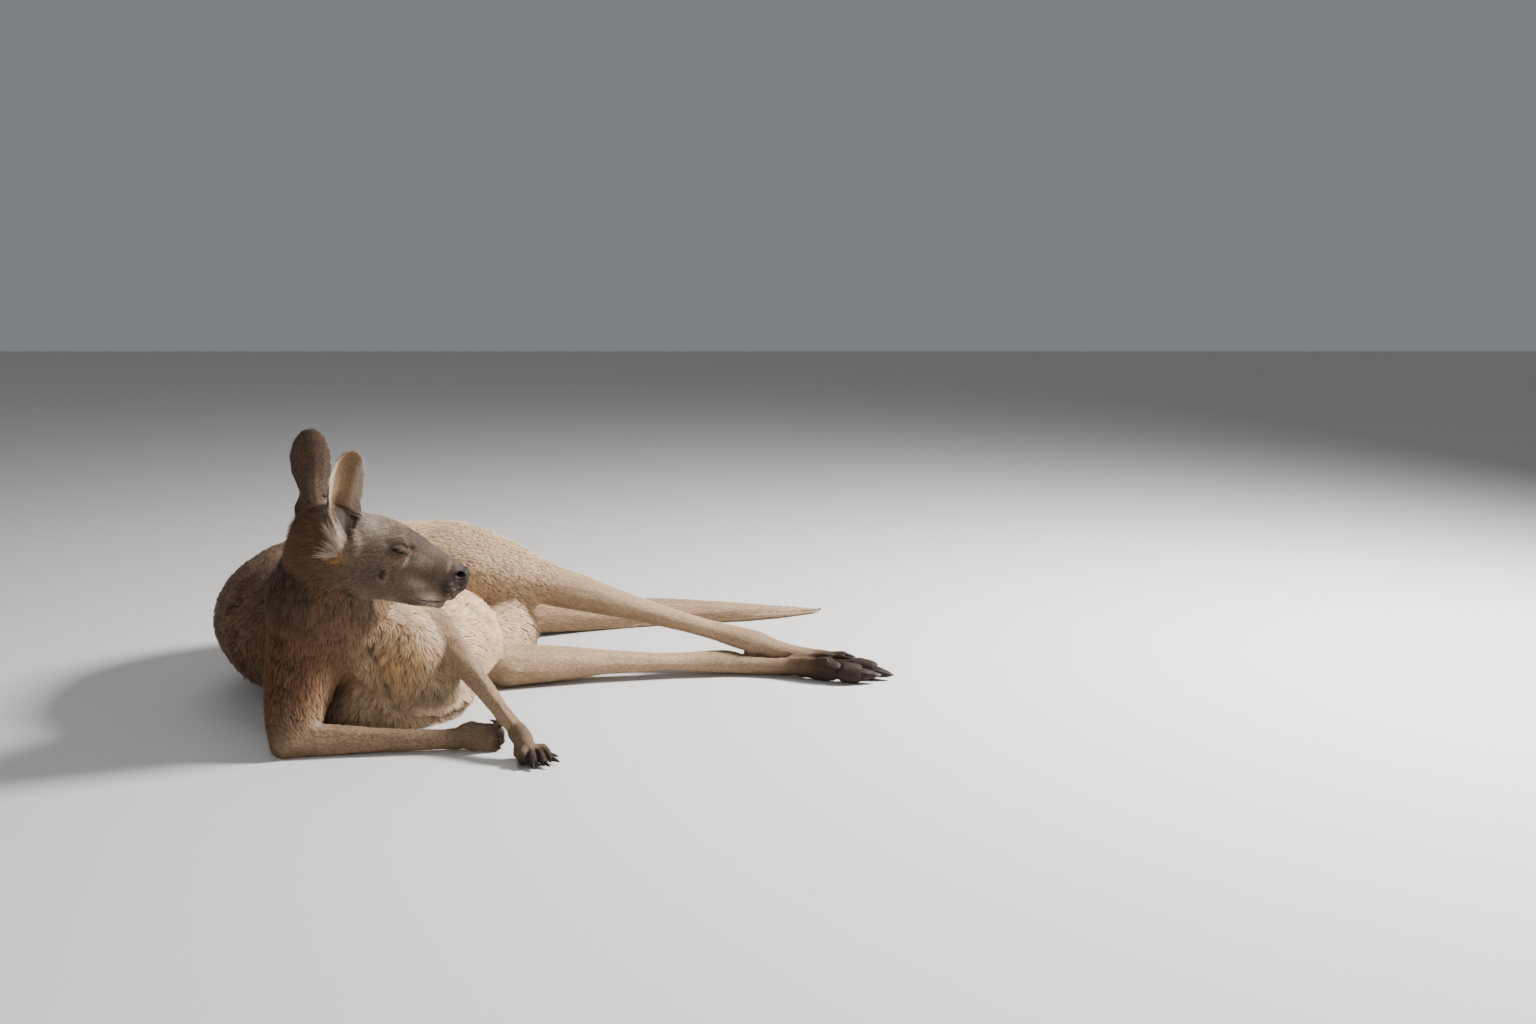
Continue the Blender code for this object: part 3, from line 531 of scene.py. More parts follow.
for side, (narrow, low, high, towards, facing) in earTaper.items():
    start, end = lines[f"ear_{side}"][0], lines[f"ear_{side}"][-1]
    axis, length = unit(end - start), np.linalg.norm(end - start)
    breadth = unit(np.cross(axis, facing))
    offset = points - start
    height = offset @ axis
    fromThis = toLine(points, lines[f"ear_{side}"])[0]
    fromOther = toLine(points, lines["ear_right" if side == "left" else "ear_left"])[0]
    share = ramp(local[:, 2], 0.10, 0.22) * (1 - ramp(fromThis, 0.046, 0.056))
    share *= ramp(fromOther - fromThis, -0.002, 0.006)
    share *= ramp(height / length, 0.0, 0.12)
    scale = narrow + (1 - narrow) * ramp(height / length, low, high)
    aside = (offset - np.outer(height, axis)) @ breadth - towards
    points += np.outer(aside * (scale - 1) * share, breadth)
writePoints(skin, points)
softenNear(points, (-0.288, -0.560, 0.450), 0.022, 16)  # the floor of the right ear's hollow
softenNear(points, lines["ear_left"][0], 0.030, 10)
softenNear(points, (-0.354, -0.511, 0.467), 0.009, 8)  # the base of the left ear
points = readPoints(skin)
normals, local = readNormals(skin), inHead(points)
bare = np.zeros(len(points))  # where no fur grows

for side, sign in sides.items():
    outward = unit(toLeft * sign + headAhead * 0.22 + headUp * 0.20)
    along = unit(headAhead - headAhead @ outward * outward)
    along = unit(along - 0.20 * headUp)
    along = unit(along - along @ outward * outward)
    upward = np.cross(outward, along) * sign
    if upward @ headUp < 0:
        upward = -upward
    a, b, c = offsets(points, eyes[side], along, upward, outward)
    facing = c > -0.004
    # brow ridge, hollows before and behind the eye, and the bag under it
    for place, radii, height in (
        ((-0.002, 0.0165, 0.006), (0.018, 0.0060, 0.014), 0.0050),
        ((0.017, 0.0130, 0.004), (0.0050, 0.0048, 0.012), -0.0042),
        ((0.016, 0.0215, 0.004), (0.012, 0.0050, 0.012), 0.0032),
        ((0.024, -0.008, 0.002), (0.009, 0.0100, 0.014), -0.0026),
        ((0.015, -0.0120, 0.003), (0.0024, 0.0130, 0.012), 0.0016),
        ((-0.001, -0.0150, 0.004), (0.012, 0.0050, 0.012), 0.0024),
        ((-0.002, -0.0215, 0.003), (0.016, 0.0035, 0.012), -0.0018),
        ((-0.022, 0.003, 0.002), (0.010, 0.0060, 0.012), -0.0018),
    ):
        push(points, normals, spot(np.stack([a, b, c], 1), place, radii) * height)
    a, b, c = offsets(points, eyes[side], along, upward, outward)
    reach = np.hypot(a, b)
    radius = facePlan["eyeRadius"]
    ball = np.sqrt(np.maximum(radius ** 2 - reach ** 2, 0.0))
    lid = np.sqrt(np.maximum((radius + facePlan["lidThickness"]) ** 2 - reach ** 2, 0.0))
    line = b - 0.0006 + 6.0 * a * a  # the slit's line droops at both ends
    half = np.where(line > 0, facePlan["slitUp"], facePlan["slitDown"])
    opening = np.hypot(a / facePlan["slitHalfLength"], line / half)
    lidCrease = np.exp(-((line - 0.0068) / 0.0012) ** 2) * ramp(0.011 - abs(a), 0, 0.004)
    target = lid - facePlan["lidCrease"] * lidCrease
    inside = 1 - ramp(opening, 0.92, 1.22)
    target = target * (1 - inside) + (ball - facePlan["ballInset"]) * inside
    cover = (1 - ramp(reach, 0.0098, 0.0155)) * facing
    push(points, outward, (target - c) * cover)
    bare = np.maximum(bare, (1 - ramp(opening, 1.25, 1.7)) * (reach < 0.018) * facing)

normals = readNormals(skin)
nostrilShade = np.zeros(len(points))
for sign in (-1, 1):  # comma-shaped nostrils that open to the side, under a curved ridge
    centre = onHead(0.938, 0.070 * sign, -0.004)
    into = unit(-(headAhead * 0.45 + toLeft * sign * 0.9 + headUp * 0.05))
    lengthwise = unit(headAhead * 0.90 + headUp * 0.25 - toLeft * sign * 0.45)
    lengthwise = unit(lengthwise - lengthwise @ into * into)
    heightwise = np.cross(lengthwise, into) * sign
    heightwise *= np.sign(heightwise @ headUp)
    a, b, c = offsets(points, centre, lengthwise, heightwise, into)
    near = abs(c) < 0.014
    bend = b + 22 * a * a - 0.0008
    hole = np.exp(-((a / 0.0068) ** 2 + (bend / 0.0042) ** 2) ** 1.6) * near
    push(points, into, facePlan["nostrilDepth"] * hole)
    rim = np.exp(-((np.hypot(a / 0.0068, bend / 0.0042) - 1.5) / 0.32) ** 2) * near
    push(points, into, -(facePlan["nostrilRim"] * rim * (0.5 + ramp(b, -0.003, 0.003))))
    # the holes' darkness is painted shade
    nostrilShade = np.maximum(nostrilShade, hole)
    skinAround = np.exp(-((a / 0.0125) ** 2 + (b / 0.0095) ** 2) ** 2) * near
    bare = np.maximum(bare, ramp(skinAround, 0.30, 0.55))
    noseHollow = spot(points, onHead(0.85, 0.105 * sign, -0.03), (0.014, 0.010, 0.016))
    push(points, toLeft * sign, -(facePlan["noseHollow"] * noseHollow))
groove = np.exp(-(inHead(points)[:, 1] * headLength / 0.0012) ** 2) * ramp(local[:, 0], 0.955, 1.0)
groove *= ramp(-0.03 - local[:, 2], 0, 0.03)
push(points, headAhead, -(facePlan["noseGroove"] * groove))

local = inHead(points)
path = dense([(ahead, 0, up) for ahead, up in facePlan["mouthPath"]])
distance, place = toLine(local * [1, 0, 1], path)
distance *= headLength
isMouth = onTheHead * ramp(local[:, 0], 0.66, 0.74)
mouth = np.exp(-(distance / 0.0021) ** 2) * isMouth
mouthHeight = np.interp(local[:, 0], *np.array(facePlan["mouthPath"]).T)
overLip = np.exp(-((distance - 0.0045) / 0.0026) ** 2) * isMouth * (local[:, 2] > mouthHeight)
push(points, normals, facePlan["overLip"] * overLip - facePlan["mouthDepth"] * mouth)
nosePad = ramp(spot(points, onHead(0.970, 0, 0.010), (0.020, 0.022, 0.018)), 0.30, 0.62)
lipSkin = ramp(spot(local, (0.965, 0, -0.15), (0.060, 0.13, 0.055)), 0.35, 0.70)
nosePad = np.maximum(nosePad, 0.75 * lipSkin)
bare = np.maximum(bare, np.maximum(nosePad, ramp(mouth, 0.5, 0.9)))
rimPlan = {"search": 0.004, "bare": 0.0012, "furred": 0.0030}  # by distance from a claw
for name in clawNames:  # a bare rim of skin round each claw
    claw = nodes[name]
    tree = BVHTree.FromPolygons(readPoints(claw).tolist(), readTriangles(claw.data).tolist())
    low, high = (np.array(corner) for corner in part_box(name))
    close = ((points > low - rimPlan["search"]) & (points < high + rimPlan["search"])).all(1)
    for i in np.flatnonzero(close):
        nearest, facing, _, distance = tree.find_nearest(Vector(points[i]))
        inside = (Vector(points[i]) - nearest).dot(facing) < 0
        rim = 1.0 if inside else 1 - ramp(distance, rimPlan["bare"], rimPlan["furred"])
        bare[i] = max(bare[i], rim)

for place, radii, height in (  # cheek, jaw, temple and lip forms, on both sides
    ((0.36, 0.21, -0.10), (0.10, 0.09, 0.10), 0.0020),
    ((0.53, 0.20, -0.08), (0.05, 0.08, 0.07), -0.0020),
    ((0.30, 0.20, 0.13), (0.07, 0.08, 0.05), -0.0022),
    ((0.47, 0.16, -0.24), (0.13, 0.09, 0.035), -0.0030),
    ((0.91, 0.10, -0.12), (0.05, 0.06, 0.05), 0.0022),
    ((0.74, 0.13, -0.12), (0.05, 0.06, 0.05), -0.0016),
):
    for sign in (-1, 1):
        target = onHead(place[0], place[1] * sign, place[2])
        push(points, normals, spot(inHead(points), inHead(target), radii) * height)
lipWaves = np.sin(local[:, 2] * 300 + 40 * local[:, 0])
lipWaves *= spot(local, (0.95, 0, -0.135), (0.05, 0.14, 0.06))
push(points, normals, facePlan["lipWaves"] * lipWaves)
besideHead = inHead(points)
pitReach = np.hypot((besideHead[:, 0] - 0.418) / 0.022, (besideHead[:, 2] + 0.095) / 0.037)
pitReach += 9.0 * (besideHead[:, 1] > 0)  # a scar of its right cheek alone
cheekPit = np.exp(-pitReach ** 2) * onTheHead
cheekRim = np.exp(-((pitReach - 1.65) / 0.45) ** 2) * onTheHead
push(points, normals, facePlan["cheekRim"] * cheekRim - facePlan["cheekPit"] * cheekPit)
bare = np.maximum(bare, ramp(cheekPit, 0.25, 0.6))
keepOffFloor(points)
writePoints(skin, points)
print("face: lids, nostrils and mouth are shaped,", len(skin.data.polygons), "triangles")


# How the coat lies, its length, its markings and its painted shade, all known at each point of the skin.

furPlan = {  # length of the hair, its lift in degrees, and how strongly it gathers into locks
    "head": (0.0088, 24, 0.50), "ear": (0.0045, 14, 0.15), "neck": (0.0300, 30, 0.95),
    "trunk": (0.0240, 26, 0.80), "tail": (0.0125, 16, 0.45), "upperLimb": (0.0200, 24, 0.75),
    "lowerLimb": (0.0095, 16, 0.40), "end": (0.0055, 15, 0.15),
}
points, normals, edges = readPoints(skin), readNormals(skin), neighbours(skin)
nodeIndex = nearestNodes(points)
nodeNames = np.array(fleshNames)[nodeIndex]
groupOf = groups[nodeIndex]
local = inHead(points)

flow = np.zeros_like(points)
place = np.zeros(len(points))
radial = np.zeros_like(points)
chains = np.array([chainOf[name] for name in fleshNames])[nodeIndex]
for chain, line in lines.items():
    mine = chains == chain
    gaps = ((points[mine][:, None] - line[None]) ** 2).sum(-1)
    nearest = gaps.argmin(1)
    tangent = unit(np.gradient(line, axis=0))
    flow[mine] = tangent[nearest]
    place[mine] = nearest / (len(line) - 1)
    radial[mine] = points[mine] - line[nearest]
radial = unit(radial)
inHeadGroup = groupOf == "head"
flow[inHeadGroup] = unit(-headAhead - 0.35 * headUp)
flow = spread(flow, edges, 60)
flow += 0.16 * np.stack([wave(points, 0.06, seed) for seed in (1, 2, 3)], 1)
droop = np.isin(groupOf, ("trunk", "neck", "upperLimb")) * (1 - abs(normals[:, 2]))
flow += np.outer(droop, [0, 0, -0.45])
flow = unit(flow - (flow * normals).sum(1, keepdims=True) * normals)

furLength, furLift, furLock = (np.array([furPlan[g][i] for g in groupOf], float) for i in range(3))
# the head's hair is longer towards the neck, short round the left ear's base and longer on the chin
ruff = ramp(0.26 - local[:, 0] - 0.5 * np.clip(local[:, 2], -0.3, 0.2), 0.0, 0.50)
furLength[inHeadGroup] *= (0.48 + 0.62 * ramp(-local[:, 0], -0.85, -0.15) + 1.9 * ruff)[inHeadGroup]
furLength *= 1 - 0.60 * spot(points, lines["ear_left"][0] - 0.010 * headUp, 0.042)
furLength += 0.0060 * spot(local, (0.750, 0, -0.260), (0.060, 0.30, 0.045)) * inHeadGroup
smoothHip = np.isin(nodeNames, ("thigh_left", "thigh_right")) * ramp(normals[:, 2], -0.30, 0.15)
furLength *= (1 - 0.42 * smoothHip) * (1 + 0.15 * wave(points, 0.045, 4))
furLock *= 1 - 0.35 * smoothHip
furLength, furLift, furLock = (spread(v, edges, 70) for v in (furLength, furLift, furLock))

front = ramp(points[:, 1], -0.12, -0.36)[:, None]  # the breast faces ahead, the belly to the side
ventral = unit(front * [0.50, -0.85, -0.05] + (1 - front) * [0.95, -0.30, 0.0])
belly = (radial * ventral).sum(1)  # 1 at the belly's middle line, -1 along the spine
isNode = {name: (nodeNames == name).astype(float) for name in fleshNames}
isGroup = {name: (groupOf == name).astype(float) for name in set(groups)}

# the coat's own markings, and in their dark also painted shade
marksAndShade = {name: np.zeros(len(points)) for name in ("pale", "rust", "dark", "ochre", "white", "grey")}
behind = ramp(points[:, 1], -0.25, 0.15)  # 0 at the shoulders, 1 at the rump
below = -normals[:, 2]  # 1 on an underside
marksAndShade["pale"] += (isNode["abdomen"] + isNode["chest"]) * ramp(belly + 0.85 * behind, -0.25, 0.25)
marksAndShade["pale"] += isGroup["tail"] * 0.72
marksAndShade["pale"] += isNode["neck"] * 0.85 * ramp(normals @ headAhead - 1.2 * normals[:, 2], 0.85, 1.25)
marksAndShade["pale"] += isNode["upper_arm_right"] * ramp(normals[:, 0], 0.45, 0.95) * 0.8
marksAndShade["pale"] += (isNode["upper_arm_left"] * 0.90 + isNode["forearm_left"] * 0.66
                  + isNode["forearm_right"] * 0.38)
limbParts = ("thigh", "shank", "foot", "hand", "ear")
for side in sides:
    thigh, shank, foot, hand, ear = (isNode[f"{part}_{side}"] for part in limbParts)
    marksAndShade["pale"] += thigh * 0.96 + shank * (0.86 - 0.25 * ramp(below, 0.1, 0.8))
    marksAndShade["pale"] += foot * 0.62 * (1 - ramp(place, 0.80, 0.92)) + hand * 0.35
    marksAndShade["dark"] += foot * (0.12 + 0.85 * ramp(place + 0.10 * ramp(below, -0.2, 0.6), 0.80, 0.95))
    marksAndShade["dark"] += hand * (0.34 + 0.65 * ramp(place, 0.82, 0.95)) + ear * 0.50
marksAndShade["dark"] += isNode["upper_arm_right"] * 0.34 * (1 - ramp(normals[:, 0], 0.1, 0.6))
# the neck is dark brown and darkest on the nape, partly its own colour and partly painted shade
marksAndShade["dark"] += isNode["neck"] * (0.50 + 0.34 * ramp(-(normals @ headAhead), -0.20, 0.50))
marksAndShade["rust"] += isNode["upper_arm_right"] * 0.62 + isNode["neck"] * 0.46 + isGroup["tail"] * 0.22
marksAndShade["rust"] += (isNode["forearm_right"] * 0.30 * ramp(below, 0, 1)
                  + isNode["chest"] * 0.30 * ramp(-belly, -0.1, 0.5))
# the back is grey and darker, partly its own colour and partly painted shade
back = isGroup["trunk"] * ramp(-belly - 0.5 * behind, -0.1, 0.5)
marksAndShade["grey"] += back * 0.60
marksAndShade["dark"] += back * 0.30
# the grey of the face turns brown towards the nape
face = ramp(local[:, 0] + 0.35 * local[:, 2], -0.10, 0.20)
marksAndShade["grey"] += inHeadGroup * 0.80 * face
marksAndShade["dark"] += inHeadGroup * 0.50 * (1 - face)
marksAndShade["rust"] += inHeadGroup * 0.30 * (1 - face)
marksAndShade["dark"] += isNode["forearm_right"] * 0.30 * ramp(-points[:, 0], 0.36, 0.46)
# the dark of the shoulders ends along a slanting edge on the chest
cape = ramp(-0.265 + 0.55 * (points[:, 2] - 0.244) - points[:, 0], -0.012, 0.030) * isNode["chest"]
cape *= ramp(-points[:, 1], 0.22, 0.38)
marksAndShade["pale"] *= 1 - 0.80 * cape
marksAndShade["dark"] += 0.36 * cape * (1 - back)
marksAndShade["rust"] += 0.34 * cape * (1 - back)
marksAndShade = {name: np.clip(spread(mark, edges, 18), 0, 1) for name, mark in marksAndShade.items()}


def atLeast(name, value):
    marksAndShade[name] = np.maximum(marksAndShade[name], value)


# ears: dark behind, tan inside with pale hair along the rim, darker towards the top inside, and painted
# shade low in the hollow by the base
for side, faces in (("left", (0.10, 0.99, 0.0)), ("right", (0.80, -0.60, 0.1))):
    ear = nodeNames == f"ear_{side}"
    line = lines[f"ear_{side}"]
    axis, hollow = unit(line[-1] - line[0]), unit(np.array(faces))
    height, width = offsets(points, line[0], axis, unit(np.cross(axis, hollow)))
    height /= np.linalg.norm(line[-1] - line[0])
    inner = ramp(normals @ hollow, -0.05, 0.35) * ear
    rim = inner * ramp(abs(width), 0.015, 0.027) * (1 - ramp(height, 0.75, 1.0))
    # painted shade low in the ear's hollow
    lowShade = 0.45 * inner * (1 - ramp(height, 0.02, 0.30)) * (1 - rim)
    marksAndShade["dark"] = marksAndShade["dark"] * (1 - 0.85 * inner) + lowShade
    atLeast("pale", inner * 0.34)
    atLeast("ochre", inner * 0.24)
    atLeast("dark", inner * 0.30 * ramp(height, 0.35, 0.8) * (1 - rim))
    atLeast("white", rim * 0.70)
    marksAndShade["white"] += 0.22 * (ear & (inner < 0.5)) * ramp(wave(points, 0.004, 12), 0.1, 0.7)
    furLength *= 1 + 1.6 * rim
furLength[groupOf == "tail"] *= 1 - 0.65 * ramp(place[groupOf == "tail"], 0.90, 1.0)

# the head's markings and some painted shadows, by place ahead and up in head lengths, their reach, lean
# and strength
faceMarksAndShadows = [
    ("white", 0.273, 0.200, 0.105, 0.075, -0.5, 0.66), ("white", 0.393, 0.285, 0.120, 0.060, 0, 0.28),
    ("white", 0.556, 0.035, 0.011, 0.050, 0.25, 0.60), ("rust", 0.485, 0.020, 0.060, 0.030, 0, 0.34),
    ("pale", 0.485, 0.010, 0.060, 0.022, 0, 0.30), ("white", 0.658, 0.045, 0.080, 0.050, -0.3, 0.26),
    ("white", 0.680, -0.130, 0.085, 0.050, -0.6, 0.42), ("white", 0.790, -0.235, 0.080, 0.060, 0, 1.00),
    ("white", 0.740, -0.220, 0.050, 0.040, 0, 0.55), ("dark", 0.865, -0.110, 0.055, 0.095, -0.4, 0.90),
    ("dark", 0.750, -0.040, 0.110, 0.110, -0.3, 0.50), ("dark", 0.600, 0.150, 0.085, 0.050, -0.4, 0.34),
    ("dark", 0.420, -0.130, 0.160, 0.080, 0, 0.30), ("white", 0.850, 0.030, 0.013, 0.034, 0, 0.50),
    ("dark", 0.975, -0.070, 0.095, 0.130, 0, 0.95), ("dark", 0.498, 0.092, 0.060, 0.017, -0.3, 0.85),
    # on the next line, painted shadows in the hollow before the brow and along the jaw's lower edge
    ("dark", 0.545, 0.150, 0.018, 0.018, 0, 0.85), ("dark", 0.660, -0.290, 0.085, 0.022, -0.25, 0.70),
    ("rust", 0.100, -0.050, 0.060, 0.042, 0, 0.90), ("ochre", 0.100, -0.050, 0.060, 0.042, 0, 0.72),
    ("pale", 0.100, -0.045, 0.060, 0.040, 0, 0.55), ("white", 0.085, 0.110, 0.034, 0.075, -0.5, 0.62),
    ("ochre", 0.060, 0.030, 0.060, 0.060, -0.5, 0.32), ("pale", -0.010, 0.170, 0.055, 0.120, -0.5, 0.75),
    # on the next line, the dark one is a painted shadow at the foot of the ear's hollow
    ("rust", -0.080, 0.060, 0.030, 0.070, 0, 0.75), ("dark", 0.150, 0.100, 0.018, 0.030, 0, 0.50),
    ("pale", 0.480, -0.400, 0.250, 0.080, 0, 0.85),
]
for name, ahead, up, reachAhead, reachUp, lean, strength in faceMarksAndShadows:
    aheadOff, upOff = local[:, 0] - ahead, local[:, 2] - up
    mark = np.exp(-(((aheadOff - lean * upOff) / reachAhead) ** 2) - (upOff / reachUp) ** 2)
    atLeast(name, strength * mark * np.isin(groupOf, ("head", "neck")))
# painted shade along the groove of the mouth
atLeast("dark", np.clip(mouth * 1.1, 0, 1) * inHeadGroup)
# painted shade between the fingers and toes, where one leg lies on the other, in the nostrils and in the
# ear's hollow; the nose pad is dark skin
parted = partDigits(points, nodeNames, 0.0030, 0.0034, 1.0)
touching = whereLegsTouch(nodeNames, edges, 5, 0.40)
hollow = 0.92 * ramp(earSlit, 0.05, 0.5)
for extra in (0.75 * parted, 0.8 * touching, nosePad, nostrilShade, hollow, cheekPit * 1.2):
    atLeast("dark", extra)
flecks = ramp(wave(points, 0.0065, 6), 0.15, 0.60) * inHeadGroup
muzzle = ramp(local[:, 0], 0.84, 0.92) * ramp(-local[:, 2], 0.02, 0.08)
muzzle *= 1 - np.clip(mouth + nosePad, 0, 1)
atLeast("white", 0.90 * flecks * muzzle)
streaks = ramp(wave(points * np.array([1.0, 1.0, 2.2]), 0.013, 9), 0.0, 0.8)
streaks *= spot(local, (0.30, 0, 0.20), (0.16, 9, 0.13))
atLeast("white", 0.55 * streaks * inHeadGroup)
atLeast("white", 0.26 * cheekRim * ramp(local[:, 0], 0.40, 0.46))
marksAndShade["white"] *= 1 - ramp(cheekPit, 0.2, 0.6)

# the yellow stain on the breast, and painted shade under its lobe and along the folds
stain = spot(points, (-0.235, -0.465, 0.155), (0.048, 0.07, 0.055))
atLeast("ochre", 0.85 * stain * (groupOf == "trunk"))
for place, radii, strength in (  # painted shade under the breast's lobe, near the floor
    ((-0.183, -0.440, 0.090), (0.065, 0.130, 0.034), 0.55),
    ((-0.205, -0.440, 0.042), (0.070, 0.130, 0.022), 0.42),
):
    atLeast("dark", strength * spot(points, place, radii))
foldShade = {"breast": 0.92}  # the others take the usual shade
for fold, (corners, width, foldDepth) in foldPlan.items():
    distance, _ = toLine(points, dense(corners))
    shade = foldShade.get(fold, 0.68) * np.exp(-(distance / width) ** 2) * min(foldDepth / 0.014, 1.0)
    atLeast("dark", shade)
tone = np.clip(np.stack([marksAndShade[name] for name in ("pale", "rust", "dark")], 1), 0, 1)
tint = np.clip(np.stack([marksAndShade[name] for name in ("ochre", "white", "grey")], 1), 0, 1)
print("coat: its lie, length and markings are set")


def colourAttribute(mesh, name, values):
    made = mesh.color_attributes.new(name, "FLOAT_COLOR", "POINT")
    rows = np.ones((len(values), 4), np.float32)
    rows[:, : values.shape[1]] = values
    made.data.foreach_set("color", rows.ravel())


def numberAttribute(mesh, name, values):
    made = mesh.attributes.new(name, "FLOAT", "POINT")
    made.data.foreach_set("value", values.astype(np.float32))


colourAttribute(skin.data, "tone", tone)
colourAttribute(skin.data, "tint", tint)
numberAttribute(skin.data, "tip", np.full(len(points), 0.30))
numberAttribute(skin.data, "grain", np.full(len(points), 0.5))
numberAttribute(skin.data, "bare", bare)
numberAttribute(skin.data, "shade", np.clip(nostrilShade * 1.3 + mouth * 0.9, 0, 1))
skin.data.shade_smooth()


# The coat: tufts of hair in pieces by region, each tuft a thin ridged blade that lies along the body.

isChest, isAbdomen = nodeNames == "chest", nodeNames == "abdomen"
coatColumns = ("where", "spacing", "width", "rings", "lock", "stray")
coatPlan = {  # where it grows, spacing, width, rings below the tip, size of a lock, unevenness of the lie
    "coat_head": (groupOf == "head", 0.00175, 0.00095, 1, 0.006, 0.20),
    "coat_ears": (groupOf == "ear", 0.00175, 0.0008, 1, 0.005, 0.20),
    "coat_neck": (groupOf == "neck", 0.0020, 0.0013, 2, 0.012, 0.26),
    "coat_breast": (isChest & (belly > 0), 0.0028, 0.0015, 2, 0.012, 0.22),
    "coat_withers": (isChest & (belly <= 0), 0.0028, 0.0015, 2, 0.012, 0.20),
    "coat_belly": (isAbdomen & (belly > -0.45), 0.0029, 0.0016, 2, 0.013, 0.20),
    "coat_loin": (isAbdomen & (belly <= -0.45), 0.0029, 0.0016, 2, 0.012, 0.18),
    "coat_upper_limbs": (groupOf == "upperLimb", 0.0029, 0.0015, 2, 0.011, 0.20),
    "coat_lower_limbs": (groupOf == "lowerLimb", 0.0023, 0.0012, 1, 0.008, 0.16),
    "coat_hands_feet": (groupOf == "end", 0.0020, 0.0010, 1, 0.006, 0.16),
    "coat_tail": (groupOf == "tail", 0.0025, 0.0014, 1, 0.009, 0.18),
}
tuftPlan = {
    "rootDepth": 0.0009,  # how far the root sits in the skin
    "ridge": 0.32,  # height of the middle of a ring, as a share of its width
    "floorGap": 0.0005,
    "bareFrom": 0.45,  # no tuft where the skin is barer than this
    "underside": (0.82, 0.009),  # no tuft on skin that faces the floor this much, nearer to it than this
    "patch": 0.0015,  # half the size of a tuft's own place on the unwrap
}
tuftFaces = {  # by the number of rings, each a row of three corners, with the tip as the last corner
    1: [(0, 3, 1), (1, 3, 2), (2, 3, 0)],
    2: [(0, 3, 1), (3, 4, 1), (1, 4, 2), (4, 5, 2), (3, 6, 4), (4, 6, 5)],
}
skinFaces = readTriangles(skin.data)


